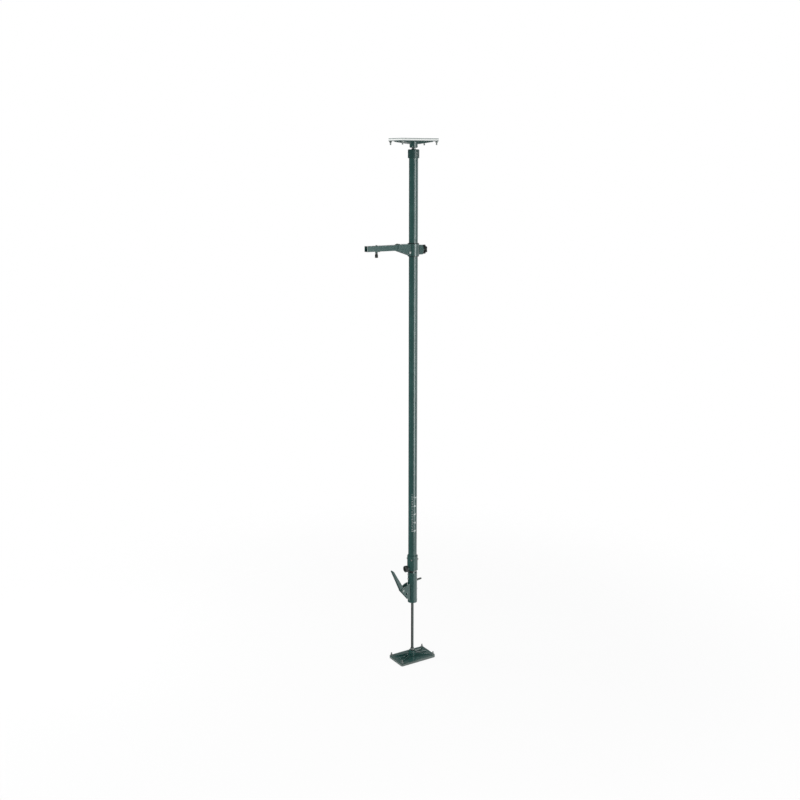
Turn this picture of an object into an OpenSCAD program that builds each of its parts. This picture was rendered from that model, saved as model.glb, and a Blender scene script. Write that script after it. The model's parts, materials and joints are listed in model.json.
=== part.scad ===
// Adjustable steel prop for bracing between floor and ceiling.
// A swivel foot carries a plain rod, a pump jack climbs the rod and lifts a telescopic mast,
// and a clamped arm with a square receiver slides and turns on the mast below a swivel head.
// Millimetres, +Z up. The origin is the centre of the foot pad's underside, on the mast's axis.

/* [Heights] */
// Height over both pads as the prop stands
prop_h = 3000; // [2500:10:3400]
// Floor to the underside of the jack
jack_z = 351; // [330:1:420]
// Top of the head pad down to the top of the arm's clamp
arm_drop = 557; // [220:1:1400]

/* [End plates] */
// Length of the foot and head plates
plate_l = 236; // [215:1:300]
// Width of the foot and head plates
plate_w = 140; // [120:1:180]
// Thickness of the steel plates
plate_t = 3.5; // [2.5:0.5:6]
// Radius of the plates' corners
plate_r = 8; // [4:1:12]
// Thickness of the rubber pads
pad_t = 12; // [9:1:16]
// Diameter of the pad bolts
bolt_d = 8; // [6:1:10]
// Bolt centre to the plate's edges
bolt_inset = 10; // [10:1:16]
// How far a bolt's end stands off the plate
bolt_out = 19; // [14:1:26]

/* [Swivels] */
// Radius of the swivel ball
ball_r = 15; // [14:0.5:18]
// Wall of the plastic cup round the ball
cup_t = 2.2; // [1.6:0.1:3]
// Wall of the hub round the cup
hub_wall = 4.2; // [3:0.1:6]
// Steel left under the cup
hub_base = 2.7; // [2:0.1:5]
// How far a swivel tilts each way, in degrees
swivel_tilt = 8; // [4:1:9]
// Height of the ribs beside the hub
rib_h = 14; // [8:1:18]
// Thickness of a rib
rib_t = 5; // [3:1:7]
// Mast axis to a rib's outer end
rib_reach = 96; // [70:1:98]
// Angle between neighbouring ribs
rib_fan = 24; // [18:1:30]

/* [Rod] */
// Diameter of the plain rod
rod_d = 16; // [12:1:18]
// How far the jack climbs from here to its stop
fine_up = 180; // [100:10:250]

/* [Jack] */
// Wall of the jack's housing
jack_wall = 3; // [2:0.5:4]
// Height of the housing, from its underside to its rim
jack_h = 189; // [180:1:230]
// Length of the pump lever from its pin to its tip
lever_len = 146; // [120:1:175]
// Width of the pump lever
lever_w = 24; // [20:1:28]
// Sheet thickness of the pump lever
lever_t = 2.5; // [1.5:0.5:3.5]
// Lean of the lever at rest and its whole stroke, in degrees
lever_lean = 27; // [20:1:32]
// Housing wall to the lever's pin
pivot_out = 46; // [40:1:56]
// Diameter of the lever's pin
pivot_d = 8; // [6:1:10]
// Thickness of the bracket's cheeks
cheek_t = 3; // [2:0.5:4]
// Thickness of the drive plate
drive_t = 5; // [4:0.5:7]
// Thickness of the brake plate
brake_t = 4; // [3:0.5:5]
// Lean of the brake plate where it grips the rod, in degrees
brake_lean = 8; // [5:1:9]
// Housing wall to the end of the release tab
tab_out = 35; // [25:1:45]

/* [Mast] */
// Outer diameter of the mast
mast_d = 50; // [48:1:60]
// Wall of the mast
mast_wall = 2; // [1.5:0.5:3]
// Wall of the inner tube
inner_wall = 2; // [1.5:0.5:3]
// Length of the inner tube
inner_len = 905; // [700:5:1200]
// Height of the clamp collar at the mast's foot
collar_h = 91; // [75:1:130]
// Wall of the clamp collar and of the top cap
collar_wall = 6; // [4:0.5:8]
// Height of the top cap
cap_h = 46; // [36:1:70]
// Diameter of the collar's knob
knob_d = 38; // [32:1:46]
// Thickness of the collar's knob
knob_t = 15; // [12:1:20]

/* [Arm] */
// Height of the clamp that carries the arm
clamp_h = 66; // [60:1:90]
// Wall of the clamp round its liner
clamp_wall = 4.5; // [3:0.5:7]
// Wall of the plastic liner
liner_t = 2.4; // [1.8:0.1:3.5]
// Side of the square arm
arm_side = 30; // [25:1:36]
// Wall of the square arm
arm_wall = 2.5; // [2:0.5:4]
// Mast axis to the arm's open end
arm_reach = 300; // [270:5:420]
// Mast axis to the mouth of the arm's socket
socket_reach = 108; // [90:1:140]
// Wall of the arm's socket
socket_wall = 3; // [2:0.5:5]
// Mast axis to the outer face of the star knob's boss
boss_reach = 58; // [52:1:70]
// Diameter of the star knob
star_d = 50; // [40:1:60]
// Thickness of the star knob
star_t = 18; // [14:1:24]
// Arm's open end to the receiver's lock screw
lock_inset = 65; // [50:1:90]
// Diameter of the lock screw's barrel grip
lock_d = 19; // [16:1:24]
// Length of the lock screw's barrel grip
lock_len = 31; // [24:1:45]

/* [Clearances] */
// Gap between pieces that pass each other
gap = 0.3; // [0.2:0.05:0.5]
// Radial clearance of a pin or rod in its guide
fit = 0.05; // [0.03:0.01:0.08]

/* [Hidden] */
$fn = 72;
eps = 0.01;

// Clearance of pieces pressed or bolted into each other
seat = 0.04;

// Swivel: ball, cup, socket and hub share one centre, and both tilts at once make the swing
cup_r = ball_r + gap + cup_t;
socket_r = cup_r + gap;
hub_r = socket_r + hub_wall;
plate_z = pad_t + plate_t;
ball_z = plate_z + hub_base + socket_r;
swing = swivel_tilt * sqrt(2);
mouth_r = rod_d / 2 + socket_r * sin(swing) + 0.8;
mouth_h = sqrt(pow(socket_r, 2) - pow(mouth_r, 2));
neck_collar_r = rod_d / 2 + 4;
neck_collar_up = (mouth_h + 0.5 + neck_collar_r * sin(swing)) / cos(swing);
ball_flat = sqrt(pow(ball_r, 2) - pow(rod_d / 2, 2));
spigot_d = rod_d * 0.6;
spigot_h = ball_flat - 2;

// Pad bolts
bolt_x = plate_l / 2 - bolt_inset;
bolt_y = plate_w / 2 - bolt_inset;
bolt_hole_d = bolt_d + 0.5;
bolt_head_d = bolt_d * 1.9;
bolt_head_h = 4.5;
bolt_recess = 1.5;
nut_h = bolt_d * 0.8;

// Tubes
inner_gap = 1;
inner_d = mast_d - 2 * (mast_wall + inner_gap);
sleeve_t = 2.5;
jack_d = inner_d + 2 * (sleeve_t + jack_wall);
jack_bore = jack_d - 2 * jack_wall;

// Levels inside the jack, from its underside up
guide_lip = 6;
guide_plug = 15;
guide_top = jack_z + guide_lip + guide_plug;
pivot_x = -(jack_d / 2 + pivot_out);
pivot_z = guide_top + 72;
toe_reach = pivot_out;
toe_nose_r = 6;
toe_arm_r = 3.2;
toe_boss_r = pivot_d / 2 + 5;
nose_x = pivot_x + toe_reach * cos(lever_lean / 2);
nose_z = pivot_z + toe_reach * sin(lever_lean / 2);
drive_top = nose_z - toe_nose_r - gap;
drive_z = drive_top - drive_t;
drive_stroke = toe_reach * lever_lean * PI / 180;
partition_t = 3;
partition_z = nose_z + toe_nose_r + 6;
partition_top = partition_z + partition_t;
brake_pin_d = 4;
brake_eye_r = brake_pin_d / 2 + 2.2;
brake_x = -(jack_bore / 2 - brake_eye_r - 1.3);
brake_z = partition_top + 4.1 + brake_eye_r;
brake_spring_top = brake_z - brake_t / 2 - 0.2;
sleeve_z = brake_z + 18;
jack_top = jack_z + jack_h;
sleeve_lip = 3;
housing_screw_d = 6;
// Turn about Z and height of each housing screw
housing_screw_at = [[0, jack_z + 13], [0, pivot_z - 12], [180, sleeve_z + 8], [180, jack_top - 9]];
plate_y = lever_w / 2 - 1;
slot_y = lever_w / 2 + 0.5;

// Rod, with a stop ring that meets the upper guide at full height
upper_guide_top = sleeve_z + 17;
stop_ring_h = 8;
stop_ring_z = upper_guide_top + fine_up + 1;
rod_top = stop_ring_z + stop_ring_h + 4;

// Mast levels
collar_z = jack_top + sleeve_lip + 13;
knob_z = collar_z + 12;
collar_r = mast_d / 2 + collar_wall;
cap_plug = 8;
spindle_flange = 5;
cap_top = prop_h - ball_z - neck_collar_up - spindle_flange;
cap_z = cap_top - cap_h;
mast_top = cap_top - cap_plug;

pad_r = 6.7;
bush_lip = 2.6;
bush_h = 30;
bush_z = knob_z + pad_r + gap + 0.4;
mast_z = bush_z + bush_lip;

// Collar clamp screw, along X
pad_pocket = 6.2;
pad_thick = 4;
stud_d = 10;
knob_face = -(collar_r + 7);

// Arm clamp
liner_r = mast_d / 2 + fit + liner_t;
clamp_bore_r = liner_r + fit;
clamp_r = clamp_bore_r + clamp_wall;
clamp_top = prop_h - arm_drop;
arm_z = clamp_top - clamp_h;
arm_mid = arm_z + clamp_h / 2;
liner_lip = 2.5;
socket_side = arm_side + 2 * socket_wall;
arm_top = clamp_top - socket_wall;
arm_axis = arm_top - arm_side / 2;
arm_low = arm_top - arm_side;
arm_inner_end = -(clamp_r + 6);
socket_low = clamp_top - socket_side;
boss_half = 20;
star_stud_d = 12;
arm_pad_r = 8.7;
arm_pad_thick = 5;
cross_x = -(clamp_r + 2.5);
cross_z = arm_z + 19;
cross_d = 8;
lock_x = -(arm_reach - lock_inset);
lock_stud_d = 8;
lock_boss_h = 7;
lock_top = arm_low + arm_wall - 0.2;
lock_tip_h = 3.2;
lock_knob_top = arm_low - lock_boss_h - 7;

// ---- Shared shapes ----

// Rectangle with round corners, centred
module rounded_rect(l, w, r) {
    square([l - 2 * r, w], center = true);
    square([l, w - 2 * r], center = true);
    for (x = [-1, 1], y = [-1, 1])
        translate([x * (l / 2 - r), y * (w / 2 - r)]) circle(r = r);
}

// Outline round two circles, r1 at the origin and r2 at (l, 0), with straight flanks.
// The flanks sink a hair into the circles, so that they cross and don't graze.
module tapered_bar(r1, r2, l) {
    a = acos((r1 - r2) / l);
    flank_1 = r1 - 0.03;
    flank_2 = r2 - 0.03;
    circle(r = r1);
    translate([l, 0]) circle(r = r2);
    polygon([[flank_1 * cos(a), -flank_1 * sin(a)], [l + flank_2 * cos(a), -flank_2 * sin(a)],
        [l + flank_2 * cos(a), flank_2 * sin(a)], [flank_1 * cos(a), flank_1 * sin(a)]]);
}

// Cylinder lying along X
module x_cylinder(x0, x1, r, z) {
    translate([x0, 0, z]) rotate([0, 90, 0]) cylinder(r = r, h = x1 - x0);
}

// Cylinder lying along Y
module y_cylinder(y0, y1, r, x, z) {
    translate([x, y0, z]) rotate([-90, 0, 0]) cylinder(r = r, h = y1 - y0);
}

// Profile drawn in X and Z, with a thickness along Y centred on the XZ plane
module xz_extrude(t) {
    rotate([90, 0, 0]) translate([0, 0, -t / 2]) linear_extrude(t) children();
}

// Round tube along Z
module tube(r, wall, z0, z1) {
    translate([0, 0, z0]) difference() {
        cylinder(r = r, h = z1 - z0);
        translate([0, 0, -1]) cylinder(r = r - wall, h = z1 - z0 + 2);
    }
}

// Hexagon nut or head standing on z = 0, across flats af
module hex(af, h) {
    cylinder(r = af / sqrt(3), h = h, $fn = 6);
}

// Screw with a hexagon head above z = 0 and a shank below it
module hex_screw(d, shank) {
    hex(d * 1.6, d * 0.65);
    translate([0, 0, -shank]) cylinder(d = d, h = shank + eps);
}

// Screw with a low round head above z = 0, a hexagon socket in it, and a shank below
module socket_screw(d, shank) {
    difference() {
        cylinder(r1 = d * 0.88, r2 = d * 0.62, h = d * 0.55);
        translate([0, 0, d * 0.22]) hex(d * 0.6, d);
    }
    translate([0, 0, -shank]) cylinder(d = d, h = shank + eps);
}

// Round wire wound in a helix between z0 and z1
module coil_spring(mean_r, wire_d, z0, z1, turns) {
    sides = 8;
    steps = ceil(turns * 18);
    rise = z1 - z0 - wire_d;
    points = [for (i = [0:steps], j = [0:sides - 1])
        let (a = 360 * turns * i / steps, b = 360 * j / sides, r = mean_r + wire_d / 2 * cos(b))
        [r * cos(a), r * sin(a), z0 + wire_d / 2 * (1 + sin(b)) + rise * i / steps]];
    flanks = [for (i = [0:steps - 1], j = [0:sides - 1])
        let (k = (j + 1) % sides)
        [i * sides + j, i * sides + k, (i + 1) * sides + k, (i + 1) * sides + j]];
    ends = [[for (j = [sides - 1:-1:0]) j], [for (j = [0:sides - 1]) steps * sides + j]];
    polyhedron(points = points, faces = concat(flanks, ends));
}

// Puts what is drawn as a foot onto the head, upside down
module as_head() {
    translate([0, 0, prop_h]) mirror([0, 0, 1]) children();
}

// ---- End plates and swivels, drawn as the foot ----

module at_bolts() {
    for (x = [-1, 1], y = [-1, 1]) translate([x * bolt_x, y * bolt_y, 0]) children();
}

module end_pad() {
    difference() {
        linear_extrude(pad_t) rounded_rect(plate_l, plate_w, plate_r);
        at_bolts() {
            translate([0, 0, -1]) cylinder(d = bolt_hole_d, h = pad_t + 2);
            translate([0, 0, -1]) cylinder(d = bolt_head_d + 1, h = bolt_recess + bolt_head_h + 1);
        }
    }
}

module end_plate() {
    translate([0, 0, pad_t]) difference() {
        linear_extrude(plate_t) rounded_rect(plate_l, plate_w, plate_r);
        at_bolts() translate([0, 0, -1]) cylinder(d = bolt_hole_d, h = plate_t + 2);
    }
}

module end_bolts() {
    at_bolts() {
        translate([0, 0, bolt_recess]) cylinder(d = bolt_head_d, h = bolt_head_h);
        translate([0, 0, bolt_recess]) cylinder(d = bolt_d, h = plate_z + bolt_out - bolt_recess - 1);
        translate([0, 0, plate_z + bolt_out - 1 - eps]) cylinder(d1 = bolt_d, d2 = bolt_d - 2, h = 1);
    }
}

module end_nuts() {
    at_bolts() translate([0, 0, plate_z]) difference() {
        hex(bolt_d * 1.625, nut_h);
        translate([0, 0, -1]) cylinder(r = bolt_d / 2 + seat, h = nut_h + 2);
    }
}

// Three ribs fan out towards each short edge, tallest beside the hub
module end_ribs() {
    tip_h = 2.5;
    for (side = [0, 180], fan = [-rib_fan, 0, rib_fan]) {
        reach = rib_reach / cos(fan);
        rotate([0, 0, side + fan]) xz_extrude(rib_t)
            polygon([[hub_r, plate_z], [hub_r, plate_z + rib_h], [hub_r + 8, plate_z + rib_h],
                [reach, plate_z + tip_h], [reach, plate_z]]);
    }
}

// Lower half of the swivel's housing, open at the ball's equator
module end_hub() {
    difference() {
        translate([0, 0, plate_z]) cylinder(r = hub_r, h = ball_z - plate_z);
        translate([0, 0, ball_z]) sphere(r = socket_r);
    }
}

// Upper half, which keeps the ball in
module end_retainer() {
    chamfer = 3;
    difference() {
        union() {
            translate([0, 0, ball_z]) cylinder(r = hub_r, h = mouth_h - chamfer);
            translate([0, 0, ball_z + mouth_h - chamfer])
                cylinder(r1 = hub_r, r2 = hub_r - chamfer, h = chamfer);
        }
        translate([0, 0, ball_z]) sphere(r = socket_r);
        translate([0, 0, ball_z]) cylinder(r = mouth_r, h = mouth_h + 1);
        for (turn = [45:90:315]) rotate([0, 0, turn])
            translate([hub_r + 1.5, 0, ball_z + 3]) cylinder(r = 4, h = mouth_h);
    }
}

// Spherical plastic cup, free to roll in the hub with the ball inside it
module end_cup() {
    cut_low = cup_r * 0.62;
    cut_high = cup_r * 0.5;
    translate([0, 0, ball_z]) difference() {
        sphere(r = cup_r);
        sphere(r = ball_r + gap);
        translate([0, 0, -cup_r - 1]) cylinder(r = cup_r, h = cup_r + 1 - cut_low);
        translate([0, 0, cut_high]) cylinder(r = cup_r, h = cup_r);
    }
}

module end_ball() {
    translate([0, 0, ball_z]) difference() {
        sphere(r = ball_r);
        translate([0, 0, ball_flat]) cylinder(r = ball_r, h = ball_r);
        translate([0, 0, ball_flat - spigot_h - 1]) cylinder(r = spigot_d / 2 + seat, h = ball_r);
    }
}

// Neck of a rod or spindle from its spigot in the ball up to z1
module neck(z1) {
    translate([0, 0, ball_z + ball_flat - spigot_h]) cylinder(d = spigot_d, h = spigot_h + eps);
    translate([0, 0, ball_z + ball_flat]) cylinder(d = rod_d, h = z1 - ball_z - ball_flat);
}

// ---- Foot ----

module foot_pad() { color([0.30, 0.33, 0.33]) end_pad(); }
module foot_plate() { color([0.15, 0.29, 0.27]) end_plate(); }
module foot_ribs() { color([0.15, 0.29, 0.27]) end_ribs(); }
module foot_hub() { color([0.15, 0.29, 0.27]) end_hub(); }
module foot_retainer() { color([0.15, 0.29, 0.27]) end_retainer(); }
module foot_bolts() { color([0.45, 0.48, 0.48]) end_bolts(); }
module foot_nuts() { color([0.45, 0.48, 0.48]) end_nuts(); }
module foot_ball_cup() { color([0.85, 0.85, 0.80]) end_cup(); }

// ---- Rod ----

module plain_rod() {
    color([0.62, 0.66, 0.65]) union() {
        neck(rod_top - 2);
        translate([0, 0, rod_top - 2 - eps]) cylinder(d1 = rod_d, d2 = rod_d - 3, h = 2);
    }
}

module rod_ball() { color([0.62, 0.66, 0.65]) end_ball(); }

module rod_collar() {
    h = 11;
    color([0.45, 0.48, 0.48]) translate([0, 0, ball_z + neck_collar_up]) difference() {
        union() {
            cylinder(r = neck_collar_r, h = h - 2);
            translate([0, 0, h - 2]) cylinder(r1 = neck_collar_r, r2 = neck_collar_r - 2, h = 2);
        }
        translate([0, 0, -1]) cylinder(r = rod_d / 2 + seat, h = h + 2);
        translate([0, 0, h / 2]) rotate([-90, 0, 0]) cylinder(r = 2, h = 2 * rod_d);
    }
}

module rod_stop_ring() {
    color([0.45, 0.48, 0.48]) translate([0, 0, stop_ring_z]) difference() {
        cylinder(r = inner_d / 2 - inner_wall - 4, h = stop_ring_h);
        translate([0, 0, -1]) cylinder(r = rod_d / 2 + seat, h = stop_ring_h + 2);
    }
}

// ---- Jack ----

module jack_housing() {
    slot_low = drive_z - drive_stroke - 3;
    slot_high = nose_z + toe_nose_r + 4;
    tab_half = plate_y - 2;
    tab_low = brake_z - brake_t - 2;
    tab_high = brake_z + (jack_d / 2 - brake_x) * tan(brake_lean) + brake_t / 2 + 1.5;
    color([0.15, 0.29, 0.27]) difference() {
        rotate([0, 0, 60]) tube(jack_d / 2, jack_wall, jack_z + guide_lip, jack_top);
        translate([-jack_d, -slot_y, slot_low]) cube([jack_d, 2 * slot_y, slot_high - slot_low]);
        translate([0, -tab_half, tab_low]) cube([jack_d, 2 * tab_half, tab_high - tab_low]);
        housing_screw_holes();
    }
}

// Two flat cheeks welded to the housing carry the lever's pin
module lever_bracket() {
    eye_r = pivot_d / 2 + 8;
    edge_z = guide_top - 4;
    top_z = pivot_z + eye_r + 22;
    window_x = -(jack_d / 2 + 21);
    window_z = pivot_z - 25;
    root_x = -jack_d / 4;
    inner_y = slot_y;
    color([0.15, 0.29, 0.27]) for (side = [-1, 1])
        translate([0, side * (inner_y + cheek_t / 2), 0]) difference() {
            xz_extrude(cheek_t) difference() {
                union() {
                    polygon([[root_x, edge_z - 6], [-jack_d / 2 + 2, edge_z],
                        [pivot_x - eye_r * 0.7, pivot_z - eye_r * 0.72],
                        [pivot_x - eye_r * 0.1, pivot_z + eye_r], [-jack_d / 2 - 15, pivot_z + 30],
                        [-jack_d / 2, top_z], [root_x, top_z]]);
                    translate([pivot_x, pivot_z]) circle(r = eye_r);
                }
                translate([pivot_x, pivot_z]) circle(r = pivot_d / 2 + seat);
                translate([window_x, window_z]) circle(r = 7);
            }
            translate([0, 0, jack_z]) cylinder(r = jack_d / 2 + seat, h = jack_h);
        }
}

// Turned plug at the housing's lower end, bored for the rod
module lower_guide() {
    nose_r = rod_d / 2 + 4;
    color([0.35, 0.38, 0.38]) difference() {
        union() {
            translate([0, 0, jack_z]) cylinder(r1 = nose_r, r2 = jack_d / 2, h = guide_lip);
            translate([0, 0, jack_z + guide_lip - eps])
                cylinder(r = jack_bore / 2 - seat, h = guide_plug + eps);
        }
        translate([0, 0, jack_z - 1]) cylinder(r = rod_d / 2 + fit, h = guide_lip + guide_plug + 2);
        housing_screw_holes();
    }
}

module spring_partition() {
    color([0.45, 0.48, 0.48]) translate([0, 0, partition_z]) difference() {
        cylinder(r = jack_bore / 2 - seat, h = partition_t);
        translate([0, 0, -1]) cylinder(r = rod_d / 2 + gap, h = partition_t + 2);
    }
}

// Plug in the foot of the inner tube, bored for the rod
module upper_guide() {
    color([0.35, 0.38, 0.38]) translate([0, 0, sleeve_z + 2]) difference() {
        cylinder(r = inner_d / 2 - inner_wall - seat, h = 15);
        translate([0, 0, -1]) cylinder(r = rod_d / 2 + fit, h = 17);
    }
}

// Packs the inner tube out to the housing's bore, with a lip over the housing's rim
module tube_sleeve() {
    color([0.15, 0.29, 0.27]) difference() {
        union() {
            translate([0, 0, sleeve_z]) cylinder(r = jack_bore / 2 - seat, h = jack_top - sleeve_z + eps);
            translate([0, 0, jack_top]) cylinder(r1 = jack_d / 2, r2 = jack_d / 2 - 1.5, h = sleeve_lip);
        }
        translate([0, 0, sleeve_z - 1])
            cylinder(r = inner_d / 2 + seat, h = jack_top + sleeve_lip - sleeve_z + 2);
        housing_screw_holes();
    }
}

module inner_tube() {
    color([0.62, 0.66, 0.65]) tube(inner_d / 2, inner_wall, sleeve_z, sleeve_z + inner_len);
}

// Plastic ring at the top of the inner tube, running in the mast
module slide_ring() {
    h = 30;
    color([0.15, 0.15, 0.15]) translate([0, 0, sleeve_z + inner_len - h]) difference() {
        cylinder(r = inner_d / 2 + inner_gap - 2 * fit, h = h);
        translate([0, 0, -1]) cylinder(r = inner_d / 2 + seat / 2, h = h + 2);
    }
}

// Places what is drawn along +Z onto each screw's seat, pointing out of the housing
module at_housing_screws() {
    for (s = housing_screw_at) rotate([0, 0, s[0]]) translate([jack_d / 2, 0, s[1]])
        rotate([0, 90, 0]) children();
}

module housing_screw_holes() {
    at_housing_screws() cylinder(r = housing_screw_d / 2 + seat, h = 4 * jack_wall, center = true);
}

module housing_screws() {
    color([0.45, 0.48, 0.48]) at_housing_screws() hex_screw(housing_screw_d, 1.5 * jack_wall);
}

// Pin with a flat head on one side and a groove for its clip on the other
module lever_pin() {
    out = slot_y + cheek_t;
    color([0.45, 0.48, 0.48]) difference() {
        union() {
            y_cylinder(-out - 3, -out, pivot_d / 2 + 3, pivot_x, pivot_z);
            y_cylinder(-out - eps, out + 5, pivot_d / 2, pivot_x, pivot_z);
        }
        difference() {
            y_cylinder(out + 0.5, out + 2, pivot_d, pivot_x, pivot_z);
            y_cylinder(out, out + 3, pivot_d / 2 - 1, pivot_x, pivot_z);
        }
    }
}

module lever_pin_clip() {
    out = slot_y + cheek_t;
    color([0.45, 0.48, 0.48]) difference() {
        y_cylinder(out + 0.6, out + 1.9, pivot_d / 2 + 3, pivot_x, pivot_z);
        y_cylinder(out, out + 3, pivot_d / 2 - 1 + seat, pivot_x, pivot_z);
        translate([pivot_x - pivot_d, out, pivot_z - pivot_d / 3])
            cube([pivot_d, 3, pivot_d * 2 / 3]);
    }
}

// Cross pin that the brake plate rocks on
module brake_pin() {
    half = sqrt(pow(jack_bore / 2, 2) - pow(brake_x - brake_pin_d / 2, 2)) - 0.3;
    color([0.45, 0.48, 0.48]) y_cylinder(-half, half, brake_pin_d / 2, brake_x, brake_z);
}

// ---- Pump: drive plate, its spring and the lever ----

// Grips the rod when the toe tips and drives it down
module drive_plate() {
    end_x = sqrt(pow(jack_bore / 2, 2) - pow(plate_y, 2)) - 1;
    start_x = nose_x - toe_nose_r;
    r = 3;
    color([0.62, 0.66, 0.65]) translate([0, 0, drive_z]) difference() {
        linear_extrude(drive_t) translate([(end_x + start_x) / 2, 0])
            rounded_rect(end_x - start_x, 2 * plate_y, r);
        translate([0, 0, -1]) cylinder(r = rod_d / 2 + gap, h = drive_t + 2);
    }
}

module drive_spring() {
    color([0.55, 0.58, 0.58])
        coil_spring(rod_d / 2 + 4.5, 2.4, guide_top + 0.1, drive_z - 0.1, 7);
}

// Pressed channel, deep at the pin and thin at the tip, open towards the mast
module pump_lever() {
    root_r = pivot_d / 2 + 8;
    tip_r = 4;
    tip_u = lever_len - tip_r;
    color([0.15, 0.29, 0.27]) translate([pivot_x, 0, pivot_z]) rotate([0, -90 - lever_lean, 0])
        difference() {
            xz_extrude(lever_w) tapered_bar(root_r, tip_r, tip_u);
            xz_extrude(lever_w - 2 * lever_t)
                polygon([[-2 * root_r, root_r - lever_t], [0, root_r - lever_t],
                    [tip_u - tip_r, tip_r - lever_t * 0.6], [tip_u - tip_r, -2 * root_r],
                    [-2 * root_r, -2 * root_r]]);
            y_cylinder(-lever_w, lever_w, pivot_d / 2 + fit, 0, 0);
        }
}

// Forged toe welded into the channel, which pushes the drive plate down
module lever_toe() {
    color([0.45, 0.48, 0.48]) translate([pivot_x, 0, pivot_z]) rotate([0, -lever_lean / 2, 0])
        difference() {
            xz_extrude(lever_w - 2 * lever_t - 2 * seat) {
                tapered_bar(toe_boss_r, toe_arm_r, toe_reach);
                translate([toe_reach, 0]) circle(r = toe_nose_r);
            }
            y_cylinder(-lever_w, lever_w, pivot_d / 2 + fit, 0, 0);
        }
}

// ---- Brake ----

// Leaning plate that locks the rod, with a rolled eye and a release tab
module brake_plate() {
    tab_y = plate_y - 3;
    wide_end = sqrt(pow(jack_bore / 2, 2) - pow(plate_y, 2)) - 2;
    tab_end = jack_d / 2 + tab_out;
    wide_l = wide_end - brake_x;
    tab_l = (tab_end - brake_x) / cos(brake_lean);
    eye_y = sqrt(pow(jack_bore / 2 - gap, 2) - pow(brake_x - brake_eye_r, 2));
    color([0.62, 0.66, 0.65]) translate([brake_x, 0, brake_z]) rotate([0, -brake_lean, 0])
        difference() {
            union() {
                y_cylinder(-eye_y, eye_y, brake_eye_r, 0, 0);
                translate([0, -plate_y, -brake_t / 2]) cube([wide_l, 2 * plate_y, brake_t]);
                translate([wide_l - 1, 0, -brake_t / 2]) linear_extrude(brake_t) {
                    translate([0, -tab_y]) square([tab_l - wide_l - tab_y + 1, 2 * tab_y]);
                    translate([tab_l - wide_l - tab_y + 1, 0]) circle(r = tab_y);
                }
            }
            y_cylinder(-lever_w, lever_w, brake_pin_d / 2 + fit, 0, 0);
            rotate([0, brake_lean, 0]) translate([-brake_x, 0, 0]) rod_slot();
            translate([-brake_x, 0, 0]) rod_slot();
        }
}

// Room for the rod in the brake plate, long enough for the plate to rock
module rod_slot() {
    r = rod_d / 2 + gap;
    rock = 0.4;
    h = 10 * brake_t;
    for (x = [-rock, rock]) translate([x, 0, 0]) cylinder(r = r, h = h, center = true);
    cube([2 * rock, 2 * r, h], center = true);
}

module brake_spring() {
    color([0.55, 0.58, 0.58])
        coil_spring(rod_d / 2 + 3, 1.6, partition_top + 0.1, brake_spring_top, 3);
}

// ---- Mast ----

module mast_tube() { color([0.15, 0.29, 0.27]) tube(mast_d / 2, mast_wall, mast_z, mast_top); }

// Plastic bush in the mast's foot, running on the inner tube
module mast_bush() {
    color([0.15, 0.15, 0.15]) difference() {
        union() {
            translate([0, 0, bush_z]) cylinder(r = mast_d / 2 - seat, h = bush_lip);
            translate([0, 0, mast_z - eps]) cylinder(r = mast_d / 2 - mast_wall - seat, h = bush_h);
        }
        translate([0, 0, bush_z - 1]) cylinder(r = inner_d / 2 + 2 * fit, h = bush_h + bush_lip + 2);
    }
}

// Cast collar that closes the mast's foot and carries the clamp screw
module clamp_collar() {
    boss_r = 10.5;
    chamfer = 3;
    color([0.15, 0.29, 0.27]) difference() {
        union() {
            translate([0, 0, collar_z]) cylinder(r = collar_r, h = collar_h - chamfer);
            translate([0, 0, collar_z + collar_h - chamfer - eps])
                cylinder(r1 = collar_r, r2 = collar_r - chamfer, h = chamfer);
            x_cylinder(knob_face + 1.5, 0, boss_r, knob_z);
        }
        translate([0, 0, bush_z]) cylinder(r = mast_d / 2 + seat, h = collar_h);
        translate([0, 0, collar_z - 1]) cylinder(r = inner_d / 2 + gap, h = collar_h);
        x_cylinder(-inner_d / 2 - pad_pocket, 0, pad_r + gap, knob_z);
        x_cylinder(2 * knob_face, 0, stud_d / 2 + fit, knob_z);
        for (turn = [-90, 90]) rotate([0, 0, turn]) x_cylinder(inner_d / 4, 2 * collar_r, 9, collar_z);
        at_collar_screws() cylinder(r = 3 + seat, h = 20, center = true);
    }
}

module at_collar_screws() {
    for (turn = [0, 90, 180, 270]) rotate([0, 0, turn + 45])
        translate([collar_r, 0, collar_z + collar_h - 24]) rotate([0, 90, 0]) children();
}

module collar_screws() {
    color([0.45, 0.48, 0.48]) at_collar_screws() socket_screw(6, collar_wall - 0.2);
}

// Cap over the mast's top, thick enough to hold the spindle
module top_cap() {
    chamfer = 3;
    color([0.12, 0.20, 0.19]) difference() {
        union() {
            translate([0, 0, cap_z]) cylinder(r = collar_r, h = cap_h - chamfer);
            translate([0, 0, cap_top - chamfer - eps])
                cylinder(r1 = collar_r, r2 = collar_r - chamfer, h = chamfer + eps);
        }
        translate([0, 0, cap_z - 1]) cylinder(r = mast_d / 2 + seat, h = cap_h - cap_plug + 1);
        translate([0, 0, cap_z]) cylinder(r = rod_d / 2 + seat, h = cap_h + 1);
        at_cap_screws() cylinder(r = 2.5 + seat, h = 20, center = true);
    }
}

module at_cap_screws() {
    for (turn = [-90, 90], z = [cap_z + 14, cap_z + 28]) rotate([0, 0, turn])
        translate([collar_r, 0, z]) rotate([0, 90, 0]) children();
}

module cap_screws() {
    color([0.62, 0.66, 0.65]) at_cap_screws() socket_screw(5, collar_wall - 0.2);
}

module head_spindle() {
    nut_end = cap_plug + 14;
    color([0.45, 0.48, 0.48]) as_head() union() {
        neck(prop_h - cap_top + nut_end);
        translate([0, 0, ball_z + neck_collar_up]) cylinder(r = neck_collar_r, h = spindle_flange);
    }
}

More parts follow.
